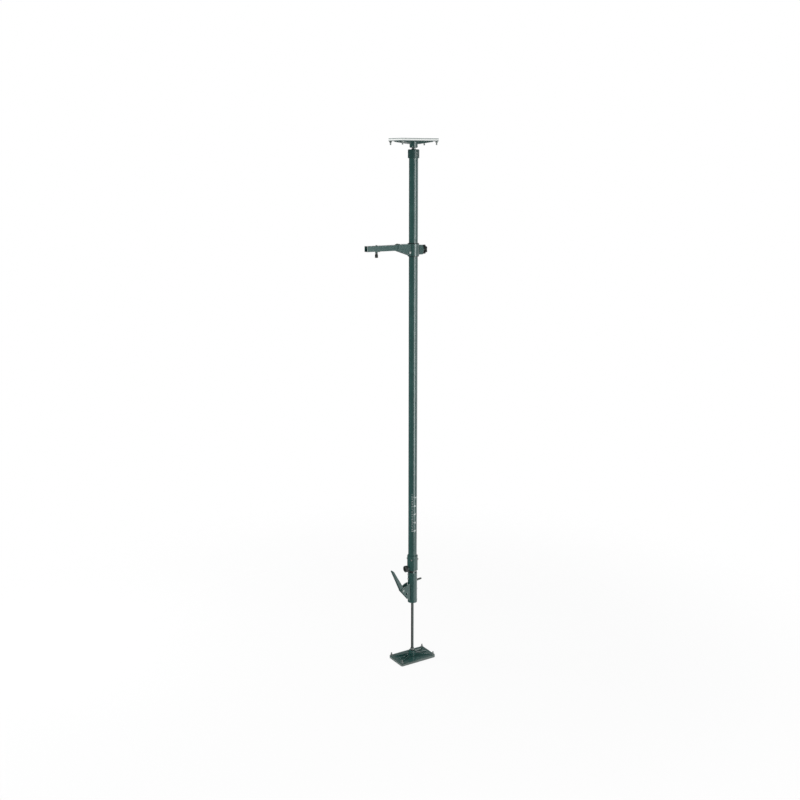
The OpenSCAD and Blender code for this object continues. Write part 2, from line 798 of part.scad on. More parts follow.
module head_ball() { color([0.62, 0.66, 0.65]) as_head() end_ball(); }

module spindle_nut() {
    h = 11;
    color([0.45, 0.48, 0.48]) translate([0, 0, cap_top - cap_plug - h]) difference() {
        hex(rod_d * 1.5, h);
        translate([0, 0, -1]) cylinder(r = rod_d / 2 + seat, h = h + 2);
    }
}

// ---- Collar clamp screw ----

// Brass pad with a face hollowed to the inner tube's curve
module collar_pad() {
    back = -(inner_d / 2 + gap + pad_thick);
    color([0.75, 0.60, 0.30]) difference() {
        x_cylinder(back, -inner_d / 4, pad_r, knob_z);
        translate([0, 0, knob_z - 2 * pad_r]) cylinder(r = inner_d / 2 + gap, h = 4 * pad_r);
    }
}

module collar_stud() {
    back = -(inner_d / 2 + gap + pad_thick);
    color([0.62, 0.66, 0.65]) x_cylinder(knob_face - knob_t * 0.6, back - seat, stud_d / 2, knob_z);
}

// Round grip with shallow finger flutes and a raised ring on its face
module collar_knob() {
    flutes = 12;
    color([0.08, 0.09, 0.09]) difference() {
        x_cylinder(knob_face - knob_t, knob_face, knob_d / 2, knob_z);
        for (i = [0:flutes - 1]) translate([0, 0, knob_z]) rotate([360 * (i + 0.5) / flutes, 0, 0])
            translate([0, 0, knob_d / 2 + 1.4]) rotate([0, -90, 0])
                translate([0, 0, -knob_face - 1]) cylinder(r = 3, h = knob_t + 2);
        x_cylinder(knob_face - knob_t - 1, knob_face - knob_t + 2, knob_d / 2 - 6, knob_z);
        x_cylinder(knob_face - knob_t * 0.6 - 0.2, 0, stud_d / 2 + seat, knob_z);
    }
}

// ---- Arm ----

// Split plastic liner with a lip at each end, which the clamp turns on
module arm_liner() {
    z0 = arm_z - gap - liner_lip;
    h = clamp_h + 2 * (gap + liner_lip);
    slit = 2.5;
    color([0.12, 0.13, 0.13]) difference() {
        union() {
            translate([0, 0, z0]) cylinder(r = liner_r, h = h);
            for (z = [z0, z0 + h - liner_lip]) translate([0, 0, z]) cylinder(r = clamp_r - 1, h = liner_lip);
        }
        translate([0, 0, z0 - 1]) cylinder(r = mast_d / 2 + fit, h = h + 2);
        translate([0, -slit / 2, z0 - 1]) rotate([0, 0, 90]) cube([slit, 2 * clamp_r, h + 2]);
    }
}

// Cast clamp: a ring round the mast, a boss for the star knob and a braced square socket
module arm_clamp() {
    boss_root = clamp_bore_r * 0.7;
    cheek = 4;
    half = socket_side / 2;
    color([0.15, 0.29, 0.27]) difference() {
        union() {
            translate([0, 0, arm_z]) cylinder(r = clamp_r, h = clamp_h);
            translate([boss_root, -boss_half, arm_mid - boss_half - 6])
                cube([boss_reach - 8 - boss_root, 2 * boss_half, 2 * boss_half + 12]);
            x_cylinder(boss_reach - 8 - eps, boss_reach, boss_half - 1, arm_mid);
            translate([-socket_reach, -half, socket_low])
                cube([socket_reach - clamp_bore_r * 0.8, socket_side, socket_side]);
            for (side = [-1, 1]) translate([0, side * (half - cheek / 2), 0]) xz_extrude(cheek)
                polygon([[-socket_reach, socket_low + eps], [-clamp_bore_r, arm_z + 2],
                    [-clamp_bore_r * 0.8, arm_z + 2], [-clamp_bore_r * 0.8, socket_low + eps]]);
            y_cylinder(-half, half, cross_d, cross_x, cross_z);
        }
        translate([0, 0, arm_z - 1]) cylinder(r = clamp_bore_r, h = clamp_h + 2);
        translate([-socket_reach - 1, -arm_side / 2 - fit, arm_low - fit])
            cube([socket_reach + 1 + arm_inner_end, arm_side + 2 * fit, arm_side + 2 * fit]);
        x_cylinder(0, clamp_bore_r + arm_pad_thick + 3, arm_pad_r + gap, arm_mid);
        x_cylinder(0, 2 * boss_reach, star_stud_d / 2 + fit, arm_mid);
        y_cylinder(-2 * half, 2 * half, cross_d / 2 + seat, cross_x, cross_z);
        at_socket_screws() cylinder(r = 3 + seat, h = 3 * socket_wall, center = true);
    }
}

// Welded square tube, open at its outer end to take a tool's bar
module arm_tube() {
    bore = arm_side - 2 * arm_wall;
    color([0.15, 0.29, 0.27]) difference() {
        translate([-arm_reach, -arm_side / 2, arm_low])
            cube([arm_reach + arm_inner_end, arm_side, arm_side]);
        translate([-arm_reach - 1, -bore / 2, arm_low + arm_wall])
            cube([arm_reach + arm_inner_end + 2, bore, bore]);
        translate([lock_x, 0, arm_low - 1]) cylinder(r = lock_stud_d / 2 + fit, h = arm_wall + 2);
        at_socket_screws() cylinder(r = 3 + seat, h = 12, center = true);
        at_arm_screws() cylinder(r = 3 + seat, h = 3 * arm_wall, center = true);
    }
    // Threaded boss under the arm for the lock screw
    color([0.15, 0.29, 0.27]) translate([lock_x, 0, arm_low - lock_boss_h]) difference() {
        cylinder(r = lock_stud_d / 2 + 3.5, h = lock_boss_h + eps);
        translate([0, 0, -1]) cylinder(r = lock_stud_d / 2 + fit, h = lock_boss_h + 2);
    }
}

// Bolt and nut through the clamp's cheeks
module cross_bolt() {
    half = socket_side / 2;
    nut = 6.5;
    color([0.62, 0.66, 0.65]) {
        translate([cross_x, -half, cross_z]) rotate([90, 0, 0])
            hex_screw(cross_d, socket_side + nut + 2.5);
        translate([cross_x, half, cross_z]) rotate([-90, 0, 0]) difference() {
            hex(1.625 * cross_d, nut);
            translate([0, 0, -1]) cylinder(r = cross_d / 2 + seat, h = nut + 2);
        }
    }
}

module at_socket_screws() {
    for (y = [-1, 1]) translate([-socket_reach + 9, y * arm_side * 0.3, clamp_top]) children();
}

// One screw on top of the arm over the lock and one below it, behind the lock
module at_arm_screws() {
    translate([lock_x, 0, arm_top]) children();
    translate([lock_x + 17, 0, arm_low]) rotate([180, 0, 0]) children();
}

module arm_screws() {
    color([0.62, 0.66, 0.65]) {
        at_socket_screws() socket_screw(6, socket_wall + arm_wall);
        at_arm_screws() hex_screw(6, arm_wall);
    }
}

// Pad that presses the liner onto the mast
module arm_pad() {
    color([0.75, 0.60, 0.30]) difference() {
        x_cylinder(liner_r / 2, liner_r + gap + arm_pad_thick, arm_pad_r, arm_mid);
        translate([0, 0, arm_z]) cylinder(r = liner_r + gap, h = clamp_h);
    }
}

module star_stud() {
    start = liner_r + gap + arm_pad_thick + seat;
    color([0.62, 0.66, 0.65])
        x_cylinder(start, boss_reach + 2 + star_t * 0.7, star_stud_d / 2, arm_mid);
}

// Six-lobed knob with a hollow in its face
module star_knob() {
    lobes = 6;
    lobe_r = star_d * 0.15;
    x0 = boss_reach + 2;
    color([0.08, 0.09, 0.09]) difference() {
        union() {
            x_cylinder(x0, x0 + star_t, star_d / 2 - lobe_r * 0.9, arm_mid);
            for (i = [0:lobes - 1]) translate([0, 0, arm_mid]) rotate([360 * i / lobes, 0, 0])
                translate([x0 + 2, 0, star_d / 2 - lobe_r]) rotate([0, 90, 0])
                    cylinder(r = lobe_r, h = star_t - 4);
        }
        x_cylinder(x0 + star_t - 2.5, x0 + star_t + 1, star_d / 2 - 2.4 * lobe_r, arm_mid);
        x_cylinder(0, x0 + star_t * 0.7 + 0.2, star_stud_d / 2 + seat, arm_mid);
    }
}

// ---- Receiver lock screw ----

module lock_tip() {
    color([0.75, 0.60, 0.30]) translate([lock_x, 0, lock_top - lock_tip_h])
        cylinder(d = lock_stud_d - 0.4, h = lock_tip_h);
}

module lock_stud() {
    z0 = lock_knob_top - lock_len * 0.6;
    color([0.62, 0.66, 0.65]) translate([lock_x, 0, z0])
        cylinder(d = lock_stud_d, h = lock_top - lock_tip_h - seat - z0);
}

// Barrel grip, waisted below its shoulder
module lock_knob() {
    z0 = lock_knob_top - lock_len;
    color([0.08, 0.09, 0.09]) translate([lock_x, 0, z0]) difference() {
        rotate_extrude() polygon([[0, 0], [lock_d / 2 - 2, 0], [lock_d / 2, 2],
            [lock_d / 2, lock_len * 0.55], [lock_d / 2 - 2, lock_len * 0.72],
            [lock_d / 2 - 2, lock_len - 4], [lock_d / 2 - 0.5, lock_len - 2],
            [lock_d / 2 - 0.5, lock_len], [0, lock_len]]);
        translate([0, 0, lock_len * 0.4 - 0.2]) cylinder(r = lock_stud_d / 2 + seat, h = lock_len);
        for (i = [0:7]) rotate([0, 0, 45 * i]) translate([lock_d / 2 + 1, 0, -1])
            cylinder(r = 1.8, h = lock_len * 0.55);
    }
}

// ---- Head ----

module head_ball_cup() { color([0.85, 0.85, 0.80]) as_head() end_cup(); }
module head_pad() { color([0.90, 0.91, 0.90]) as_head() end_pad(); }
module head_plate() { color([0.15, 0.29, 0.27]) as_head() end_plate(); }
module head_ribs() { color([0.15, 0.29, 0.27]) as_head() end_ribs(); }
module head_hub() { color([0.15, 0.29, 0.27]) as_head() end_hub(); }
module head_retainer() { color([0.15, 0.29, 0.27]) as_head() end_retainer(); }
module head_bolts() {
    color([0.45, 0.48, 0.48]) as_head() {
        end_bolts();
        end_nuts();
    }
}

foot_pad();
foot_plate();
foot_ribs();
foot_hub();
foot_retainer();
foot_bolts();
foot_nuts();
foot_ball_cup();
plain_rod();
rod_ball();
rod_collar();
rod_stop_ring();
jack_housing();
lever_bracket();
lower_guide();
spring_partition();
upper_guide();
tube_sleeve();
inner_tube();
slide_ring();
housing_screws();
lever_pin();
lever_pin_clip();
brake_pin();
drive_plate();
drive_spring();
pump_lever();
lever_toe();
brake_plate();
brake_spring();
mast_tube();
mast_bush();
clamp_collar();
collar_screws();
top_cap();
cap_screws();
head_spindle();
head_ball();
spindle_nut();
collar_pad();
collar_knob();
collar_stud();
arm_liner();
arm_clamp();
arm_tube();
cross_bolt();
arm_screws();
arm_pad();
star_knob();
star_stud();
lock_tip();
lock_knob();
lock_stud();
head_ball_cup();
head_pad();
head_plate();
head_ribs();
head_hub();
head_retainer();
head_bolts();
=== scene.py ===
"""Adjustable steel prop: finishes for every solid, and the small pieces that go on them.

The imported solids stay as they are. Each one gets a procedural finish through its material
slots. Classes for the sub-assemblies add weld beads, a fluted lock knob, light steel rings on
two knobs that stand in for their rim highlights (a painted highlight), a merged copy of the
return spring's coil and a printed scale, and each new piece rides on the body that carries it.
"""

import json
import logging
import math
from abc import ABC, abstractmethod
from dataclasses import dataclass, field
from enum import Enum
from typing import Any, Callable, Sequence, Union

import bmesh
import bpy
from mathutils import Matrix, Vector

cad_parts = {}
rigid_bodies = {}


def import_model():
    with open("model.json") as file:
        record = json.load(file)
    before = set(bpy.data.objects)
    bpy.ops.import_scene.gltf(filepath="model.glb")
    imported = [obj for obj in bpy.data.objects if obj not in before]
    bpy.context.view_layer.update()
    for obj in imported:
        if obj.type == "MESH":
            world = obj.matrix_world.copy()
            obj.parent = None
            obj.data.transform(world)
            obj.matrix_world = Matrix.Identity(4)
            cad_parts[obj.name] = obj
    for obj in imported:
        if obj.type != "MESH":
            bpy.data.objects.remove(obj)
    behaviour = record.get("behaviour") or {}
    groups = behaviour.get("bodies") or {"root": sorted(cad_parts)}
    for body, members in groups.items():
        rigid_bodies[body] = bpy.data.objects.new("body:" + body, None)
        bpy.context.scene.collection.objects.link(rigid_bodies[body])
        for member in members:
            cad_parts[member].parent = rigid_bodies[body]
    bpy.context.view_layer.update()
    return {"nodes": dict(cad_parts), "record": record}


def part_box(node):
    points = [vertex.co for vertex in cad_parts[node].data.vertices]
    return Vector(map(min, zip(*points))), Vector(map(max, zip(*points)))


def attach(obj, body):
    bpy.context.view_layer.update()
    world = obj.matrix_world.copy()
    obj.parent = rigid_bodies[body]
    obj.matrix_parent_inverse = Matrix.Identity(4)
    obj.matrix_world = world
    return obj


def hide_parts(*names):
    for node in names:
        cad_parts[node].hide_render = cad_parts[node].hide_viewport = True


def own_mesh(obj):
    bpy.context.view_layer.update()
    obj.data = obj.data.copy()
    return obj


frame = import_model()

LOG = logging.getLogger("prop")

Colour = tuple[float, float, float]
Point = tuple[float, float, float]
Run = list[Point]

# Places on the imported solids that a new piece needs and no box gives, in metres
PROP_TOP = 3.0
ARM_END_X = -0.2985
ARM_LEVEL = 2.410
LOCK_X = -0.235
LOCK_SEAM_Z = 2.4098
LOCK_SEAM_RADIUS = 0.0077
LOCK_SEAM_STEPS = 20
COLLAR_LEVEL = 0.568
# Height above which the head pad is painted darker grey, a painted shade along its top rim
HEAD_SHADED_TOP_Z = 2.9962
JACK_RADIUS = 0.0275
CHEEK_Y = 0.0158
CLAMP_RADIUS = 0.032
SOCKET_Y = 0.0182
BOSS_Y = 0.0202
BOSS_SEAM = (2.385, 2.435)
MAST_RADIUS = 0.025

# Half thickness of printed ink, and the distance under which corners are merged, in metres
INK = 0.00006
MERGE = 1e-6

WHITE = (1.0, 1.0, 1.0, 1.0)


class Slot(Enum):
    """The record's material slots."""

    GREEN = "green_paint"
    CAP = "dark_cap_paint"
    ZINC = "bright_zinc"
    FASTENER = "fastener_zinc"
    SPRING = "spring_steel"
    PLASTIC = "black_plastic"
    CUP = "cup_plastic"
    BRASS = "brass"
    GREY_RUBBER = "grey_rubber"
    PALE_RUBBER = "pale_rubber"


class LampRole(Enum):
    """What a lamp is there for."""

    FILL = "soft light on matt faces"
    SHEEN = "highlight on glossy faces"


def linear(red: int, green: int, blue: int) -> Colour:
    """Turn a display colour into linear light.

    Args:
        red: Red, 0 to 255.
        green: Green, 0 to 255.
        blue: Blue, 0 to 255.

    Returns:
        The three linear values.
    """
    def one(value: int) -> float:
        """Decode one channel."""
        share = value / 255
        return share / 12.92 if share <= 0.04045 else ((share + 0.055) / 1.055) ** 2.4

    return one(red), one(green), one(blue)


# ---- Shader expressions ----


class Signal:
    """A number socket that takes part in Python arithmetic."""

    def __init__(self, bench: "Bench", socket: bpy.types.NodeSocket) -> None:
        """Wrap a socket of one bench."""
        self.bench = bench
        self.socket = socket

    def _math(self, operation: str, first: Any, second: Any = None) -> "Signal":
        """Add one Math node.

        Args:
            operation: The node's operation.
            first: First operand, a signal or a number.
            second: Second operand, if the operation has one.

        Returns:
            The node's result.
        """
        inputs = {0: first} if second is None else {0: first, 1: second}
        return self.bench.add("ShaderNodeMath", {"operation": operation}, inputs).signal("Value")

    def __add__(self, other: "Number") -> "Signal":
        """Sum."""
        return self._math("ADD", self, other)

    __radd__ = __add__

    def __sub__(self, other: "Number") -> "Signal":
        """Difference."""
        return self._math("SUBTRACT", self, other)

    def __rsub__(self, other: "Number") -> "Signal":
        """Difference the other way round."""
        return self._math("SUBTRACT", other, self)

    def __mul__(self, other: "Number") -> "Signal":
        """Product."""
        return self._math("MULTIPLY", self, other)

    __rmul__ = __mul__

    def __pow__(self, other: "Number") -> "Signal":
        """Power."""
        return self._math("POWER", self, other)

    def either(self, other: "Number") -> "Signal":
        """The larger of two."""
        return self._math("MAXIMUM", self, other)

    def step(self, low: float, high: float) -> "Signal":
        """Rise smoothly from 0 at low to 1 at high.

        Args:
            low: Where the rise starts.
            high: Where it ends.

        Returns:
            The eased value.
        """
        node = self.bench.add(
            "ShaderNodeMapRange",
            {"interpolation_type": "SMOOTHSTEP"},
            {"Value": self, "From Min": low, "From Max": high},
        )
        return node.signal("Result")


Number = Union[Signal, float]


class NodeBox:
    """A node on a bench, whose sockets are read by name."""

    def __init__(self, bench: "Bench", node: bpy.types.Node) -> None:
        """Wrap a node of one bench."""
        self.bench = bench
        self.node = node

    def signal(self, name: Union[str, int] = 0) -> Signal:
        """Give an output as a signal."""
        return Signal(self.bench, self.node.outputs[name])


class Bench:
    """One material's or world's node tree, laid out by calls."""

    def __init__(self, name: str, world: bool = False) -> None:
        """Start an empty material or world.

        Args:
            name: The material's name.
            world: Whether it is a world.
        """
        self.material = (bpy.data.worlds if world else bpy.data.materials).new(name)
        self.material.use_nodes = True
        self.tree = self.material.node_tree
        self.tree.nodes.clear()

    def add(
        self,
        kind: str,
        settings: dict[str, Any] | None = None,
        inputs: dict[Union[str, int], Any] | None = None,
    ) -> NodeBox:
        """Add a node.

        Args:
            kind: The node's type.
            settings: Properties of the node, set first.
            inputs: Values or signals for its sockets.

        Returns:
            The new node.
        """
        node = self.tree.nodes.new(kind)
        for key, value in (settings or {}).items():
            setattr(node, key, value)
        for key, value in (inputs or {}).items():
            if isinstance(value, Signal):
                self.tree.links.new(value.socket, node.inputs[key])
            else:
                node.inputs[key].default_value = value
        return NodeBox(self, node)

    def place(self) -> Signal:
        """Object coordinates in metres."""
        return self.add("ShaderNodeTexCoord").signal("Object")

    def stretched(self, scale: Point) -> Signal:
        """Object coordinates multiplied axis by axis.

        Args:
            scale: Factor for each axis.

        Returns:
            The scaled vector.
        """
        return self.vector_math("MULTIPLY", self.place(), scale).signal("Vector")

    def vector_math(self, operation: str, first: Any, second: Any = None) -> NodeBox:
        """Add one Vector Math node.

        Args:
            operation: The node's operation.
            first: First vector or signal.
            second: Second one, if the operation has it.

        Returns:
            The node.
        """
        inputs = {0: first} if second is None else {0: first, 1: second}
        return self.add("ShaderNodeVectorMath", {"operation": operation}, inputs)

    def axis(self, name: str, vector: Signal | None = None) -> Signal:
        """Give one coordinate of a vector.

        Args:
            name: X, Y or Z.
            vector: The vector, or None for object coordinates.

        Returns:
            The coordinate.
        """
        return self.add("ShaderNodeSeparateXYZ", None, {0: vector or self.place()}).signal(name)

    def noise(self, scale: float, detail: float = 2.0, vector: Signal | None = None) -> Signal:
        """Add a noise field.

        Args:
            scale: Cells to the metre.
            detail: Octaves on top of the first.
            vector: Where it is read, or None for object coordinates.

        Returns:
            Values around one half.
        """
        inputs = {"Vector": vector or self.place(), "Scale": scale, "Detail": detail}
        return self.add("ShaderNodeTexNoise", None, inputs).signal("Fac")

    def mix(self, share: Number, first: Any, second: Any) -> Signal:
        """Blend two colours.

        Args:
            share: How much of the second colour shows.
            first: First colour or signal.
            second: Second colour or signal.

        Returns:
            The blended colour.
        """
        def filled(value: Any) -> Any:
            """Give a colour its alpha."""
            return value if isinstance(value, Signal) else (*value, 1.0)

        node = self.add(
            "ShaderNodeMix",
            {"data_type": "RGBA"},
            {0: share, 6: filled(first), 7: filled(second)},
        )
        return node.signal(2)

    def rounded(self, radius: float) -> Signal:
        """Surface normal with every edge eased.

        Args:
            radius: Radius of the easing, in metres.

        Returns:
            The normal.
        """
        return self.add("ShaderNodeBevel", {"samples": 4}, {"Radius": radius}).signal("Normal")

    def edges(self, radius: float) -> Signal:
        """Mask of the narrow zone along sharp edges.

        Args:
            radius: Width of the zone, in metres.

        Returns:
            0 on open faces, rising to 1 on an edge.
        """
        true_normal = self.add("ShaderNodeNewGeometry").signal("Normal")
        dot = self.vector_math("DOT_PRODUCT", self.rounded(radius), true_normal).signal("Value")
        return (1.0 - dot).step(0.004, 0.12)

    def bump(self, height: Signal, distance: float, normal: Signal | None = None) -> Signal:
        """Raise a height field on the surface.

        Args:
            height: The field, 0 to 1.
            distance: Height of 1, in metres.
            normal: Normal it starts from.

        Returns:
            The bent normal.
        """
        inputs: dict[Union[str, int], Any] = {"Height": height, "Distance": distance}
        if normal is not None:
            inputs["Normal"] = normal
        return self.add("ShaderNodeBump", None, inputs).signal("Normal")

    def finish(self, inputs: dict[Union[str, int], Any]) -> bpy.types.Material:
        """Close the tree with the main shader.

        Args:
            inputs: Values or signals for the shader's sockets.

        Returns:
            The material.
        """
        full = {
            key: (*value, 1.0) if isinstance(value, tuple) and len(value) == 3 else value
            for key, value in inputs.items()
        }
        shader = self.add("ShaderNodeBsdfPrincipled", None, full)
        self.add("ShaderNodeOutputMaterial", None, {"Surface": shader.signal("BSDF")})
        return self.material


# ---- Finishes ----


class Finish(ABC):
    """A surface finish that turns into one material."""

    @abstractmethod
    def build(self) -> bpy.types.Material:
        """Make the material."""


@dataclass(frozen=True)
class PowderCoat(Finish):
    """Baked powder coat on steel, chipped along its edges, scuffed, and bare at a cut end."""

    name: str
    colour: Colour
    light: Colour
    bare: Colour = linear(150, 156, 155)
    roughness: float = 0.4
    chips: float = 0.62
    scuffs: float = 0.3
    gloss: float = 1.0
    cut_end: float = 0.0

    def build(self) -> bpy.types.Material:
        """Make the material."""
        bench = Bench(self.name)
        cloud = bench.noise(9.0, 4.0)
        fine = bench.noise(160.0, 3.0)
        mottle = cloud.step(0.35, 0.72) * 0.6 + fine.step(0.5, 0.8) * 0.25
        coat = bench.mix(mottle, self.colour, self.light)
        streak = bench.noise(1.0, 2.0, bench.stretched((520.0, 520.0, 16.0)))
        worn = bench.noise(7.0, 2.0).step(0.5, 0.66)
        scuff = streak.step(0.66, 0.74) * worn * self.scuffs
        coat = bench.mix(scuff, coat, tuple(0.5 * a + 0.12 for a in self.light))
        ragged = bench.noise(420.0, 3.0)
        edge = bench.edges(0.0011)
        chip = (edge * self.chips + ragged - 0.5).step(0.42, 0.52)
        rub = edge * 0.35
        if self.cut_end:
            along = bench.axis("X") + ragged * 0.0016
            chip = chip.either(1.0 - along.step(self.cut_end, self.cut_end + 0.0006))
        base = bench.mix(chip, bench.mix(rub, coat, self.light), self.bare)
        peel = bench.noise(950.0, 1.0)
        normal = bench.bump(peel, 0.00005, bench.rounded(0.0007))
        rough = cloud * 0.1 + (self.roughness - 0.05) + scuff * 0.2 - chip * 0.08
        return bench.finish({
            "Base Color": base,
            "Metallic": chip * 0.85,
            "Roughness": rough,
            "Normal": normal,
            "Specular IOR Level": 0.4,
            "Coat Weight": self.gloss,
            "Coat Roughness": 0.16,
        })


@dataclass(frozen=True)
class Plating(Finish):
    """Zinc plate or drawn steel: metal with fine lengthwise lines and a cloudy film."""

    name: str
    colour: Colour
    film: Colour
    roughness: float = 0.34
    lines: Point = (900.0, 900.0, 14.0)
    depth: float = 0.00002
    grime: float = 0.35
    metal: float = 0.92

    def build(self) -> bpy.types.Material:
        """Make the material."""
        bench = Bench(self.name)
        line = bench.noise(1.0, 2.0, bench.stretched(self.lines))
        cloud = bench.noise(38.0, 4.0)
        spot = bench.noise(240.0, 2.0)
        film = cloud.step(0.42, 0.7) * self.grime
        metal = bench.mix(spot.step(0.3, 0.7) * 0.3, self.colour, self.film)
        base = bench.mix(film, metal, self.film)
        shade = bench.edges(0.0009) * 0.25
        base = bench.mix(shade, base, tuple(min(1.0, 1.15 * a) for a in self.colour))
        normal = bench.bump(line, self.depth, bench.rounded(0.0004))
        return bench.finish({
            "Base Color": base,
            "Metallic": self.metal,
            "Roughness": line * 0.12 + cloud * 0.16 + (self.roughness - 0.12),
            "Normal": normal,
        })


@dataclass(frozen=True)
class Moulding(Finish):
    """Moulded plastic with a spark-eroded grain, polished where hands hold it."""

    name: str
    colour: Colour
    dust: Colour
    roughness: float = 0.52
    grain: float = 1500.0
    depth: float = 0.00006

    def build(self) -> bpy.types.Material:
        """Make the material."""
        bench = Bench(self.name)
        cloud = bench.noise(60.0, 3.0)
        edge = bench.edges(0.0012)
        base = bench.mix(cloud.step(0.45, 0.75) * 0.3, self.colour, self.dust)
        base = bench.mix(edge * 0.4, base, self.dust)
        normal = bench.bump(bench.noise(self.grain, 2.0), self.depth, bench.rounded(0.0006))
        return bench.finish({
            "Base Color": base,
            "Roughness": cloud * 0.14 + (self.roughness - 0.07) - edge * 0.12,
            "Normal": normal,
        })


@dataclass(frozen=True)
class Rubber(Finish):
    """Matt rubber with mould grain, dusty bloom, specks of dirt, and painted shade: darker grey
    along its top.
    """

    name: str
    colour: Colour
    bloom: Colour
    dirt: Colour
    dirt_share: float = 0.4
    shaded_top_z: float = 0.0
    shaded_top_colour: Colour = linear(140, 152, 149)

    def build(self) -> bpy.types.Material:
        """Make the material."""
        bench = Bench(self.name)
        cloud = bench.noise(26.0, 4.0)
        speck = bench.noise(520.0, 2.0)
        base = bench.mix(cloud.step(0.4, 0.75) * 0.5, self.colour, self.bloom)
        base = bench.mix(speck.step(0.62, 0.72) * self.dirt_share, base, self.dirt)
        base = bench.mix(bench.edges(0.0014) * 0.3, base, self.bloom)
        # Painted shade: above the given height the colour turns darker grey, for the shade along
        # the pad's top rim
        if self.shaded_top_z:
            shaded_top_mask = bench.axis("Z").step(self.shaded_top_z - 0.0002, self.shaded_top_z + 0.0002)
            base = bench.mix(shaded_top_mask, base, self.shaded_top_colour)
        normal = bench.bump(speck, 0.00012, bench.rounded(0.0012))
        return bench.finish({
            "Base Color": base,
            "Roughness": cloud * 0.12 + 0.76,
            "Normal": normal,
            "Specular IOR Level": 0.3,
        })


@dataclass(frozen=True)
class Ink(Finish):
    """Screen-printed ink, a little worn."""

    name: str
    colour: Colour
    worn: Colour

    def build(self) -> bpy.types.Material:
        """Make the material."""
        bench = Bench(self.name)
        wear = bench.noise(700.0, 3.0).step(0.6, 0.74)
        base = bench.mix(wear * 0.5, self.colour, self.worn)
        return bench.finish({"Base Color": base, "Roughness": wear * 0.2 + 0.5})


@dataclass(frozen=True)
class WeldSeam(Finish):
    """Painted weld bead: the coat over a rippled, slightly spattered seam."""

    name: str
    colour: Colour
    light: Colour

    def build(self) -> bpy.types.Material:
        """Make the material."""
        bench = Bench(self.name)
        ripple = bench.noise(600.0, 2.0)
        base = bench.mix(ripple.step(0.4, 0.8) * 0.6, self.colour, self.light)
        normal = bench.bump(ripple, 0.00015)
        return bench.finish({
            "Base Color": base,
            "Roughness": ripple * 0.2 + 0.38,
            "Normal": normal,
            "Specular IOR Level": 0.4,
        })


OWN_FINISH = {"arm_tube": "arm_coat"}


class Wardrobe:
    """Every finish of the prop, each built once."""

    def __init__(self) -> None:
        """Build the finishes."""
        green, pale_green = linear(32, 72, 68), linear(44, 84, 80)
        finishes: dict[str, Finish] = {
            Slot.GREEN.value: PowderCoat("green_coat", green, pale_green),
            "arm_coat": PowderCoat(
                "arm_coat", green, pale_green, gloss=0.3, cut_end=ARM_END_X
            ),
            Slot.CAP.value: PowderCoat(
                "cap_coat", linear(27, 60, 57), linear(38, 72, 69), gloss=0.3
            ),
            Slot.ZINC.value: Plating(
                "zinc_bright", linear(116, 124, 122), linear(88, 97, 95)
            ),
            Slot.FASTENER.value: Plating(
                "zinc_dull", linear(146, 154, 151), linear(108, 116, 113),
                roughness=0.42, lines=(420.0, 420.0, 420.0), metal=0.5,
            ),
            Slot.SPRING.value: Plating(
                "spring_wire", linear(128, 132, 132), linear(84, 88, 88),
                roughness=0.36, lines=(700.0, 700.0, 700.0),
            ),
            Slot.PLASTIC.value: Moulding(
                "black_moulding", linear(28, 33, 33), linear(52, 60, 58), roughness=0.3
            ),
            Slot.CUP.value: Moulding(
                "cup_moulding", linear(214, 212, 200), linear(180, 178, 166)
            ),
            Slot.BRASS.value: Plating(
                "turned_brass", linear(206, 170, 100), linear(150, 118, 62),
                roughness=0.3, lines=(60.0, 60.0, 1400.0),
            ),
            Slot.GREY_RUBBER.value: Rubber(
                "grey_rubber", linear(108, 118, 115), linear(134, 143, 141), linear(66, 72, 70)
            ),
            # The pale pad gets painted shade: darker grey along its top rim
            Slot.PALE_RUBBER.value: Rubber(
                "pale_rubber", linear(234, 237, 235), linear(243, 245, 244),
                linear(190, 193, 191), dirt_share=0.2, shaded_top_z=HEAD_SHADED_TOP_Z,
            ),
            "weld": WeldSeam("painted_weld", linear(34, 68, 64), linear(58, 98, 93)),
            "white_ink": Ink("white_ink", linear(236, 240, 238), linear(150, 164, 160)),
        }
        self.materials = {name: finish.build() for name, finish in finishes.items()}

    def of(self, name: Union[Slot, str]) -> bpy.types.Material:
        """Give a finish's material.

        Args:
            name: The slot, or the name of a finish without one.

        Returns:
            The material.
        """
        return self.materials[name.value if isinstance(name, Slot) else name]

    def dress_solids(self) -> None:
        """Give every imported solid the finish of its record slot."""
        for part in frame["record"]["subparts"]:
            solid = frame["nodes"][part["node"]]
            material = self.of(OWN_FINISH.get(part["node"], part["material_slot"]))
            if not solid.material_slots:
                solid.data.materials.append(material)
            for slot in solid.material_slots:
                slot.material = material
            LOG.info("%s wears %s", part["node"], material.name)


# ---- Meshes ----


def mesh_object(name: str, points: Sequence[Sequence[float]], faces: Sequence[Sequence[int]],
                edges: Sequence[tuple[int, int]] = ()) -> bpy.types.Object:
    """Make an object from points and faces.

    Args:
        name: The object's name.
        points: Corners, in metres.
        faces: Corner numbers of each face.
        edges: Loose edges, for a path.

    Returns:
        The linked object.
    """
    mesh = bpy.data.meshes.new(name)
    corners, loops = [tuple(point) for point in points], [tuple(face) for face in faces]
    mesh.from_pydata(corners, list(edges), loops)
    mesh.update()
    piece = bpy.data.objects.new(name, mesh)
    bpy.context.scene.collection.objects.link(piece)
    return piece


def clean_normals(piece: bpy.types.Object) -> None:
    """Merge doubled corners and turn every face outwards."""
    work = bmesh.new()
    work.from_mesh(piece.data)
    bmesh.ops.remove_doubles(work, verts=work.verts, dist=1e-7)
    bmesh.ops.recalc_face_normals(work, faces=work.faces)
    work.to_mesh(piece.data)
    work.free()


def smooth(piece: bpy.types.Object, angle: float = 40.0) -> None:
    """Shade a piece smooth, with edges sharper than an angle kept crisp.

    Args:
        piece: The piece.
        angle: The angle in degrees.
    """
    for face in piece.data.polygons:
        face.use_smooth = True
    piece.data.set_sharp_from_angle(angle=math.radians(angle))


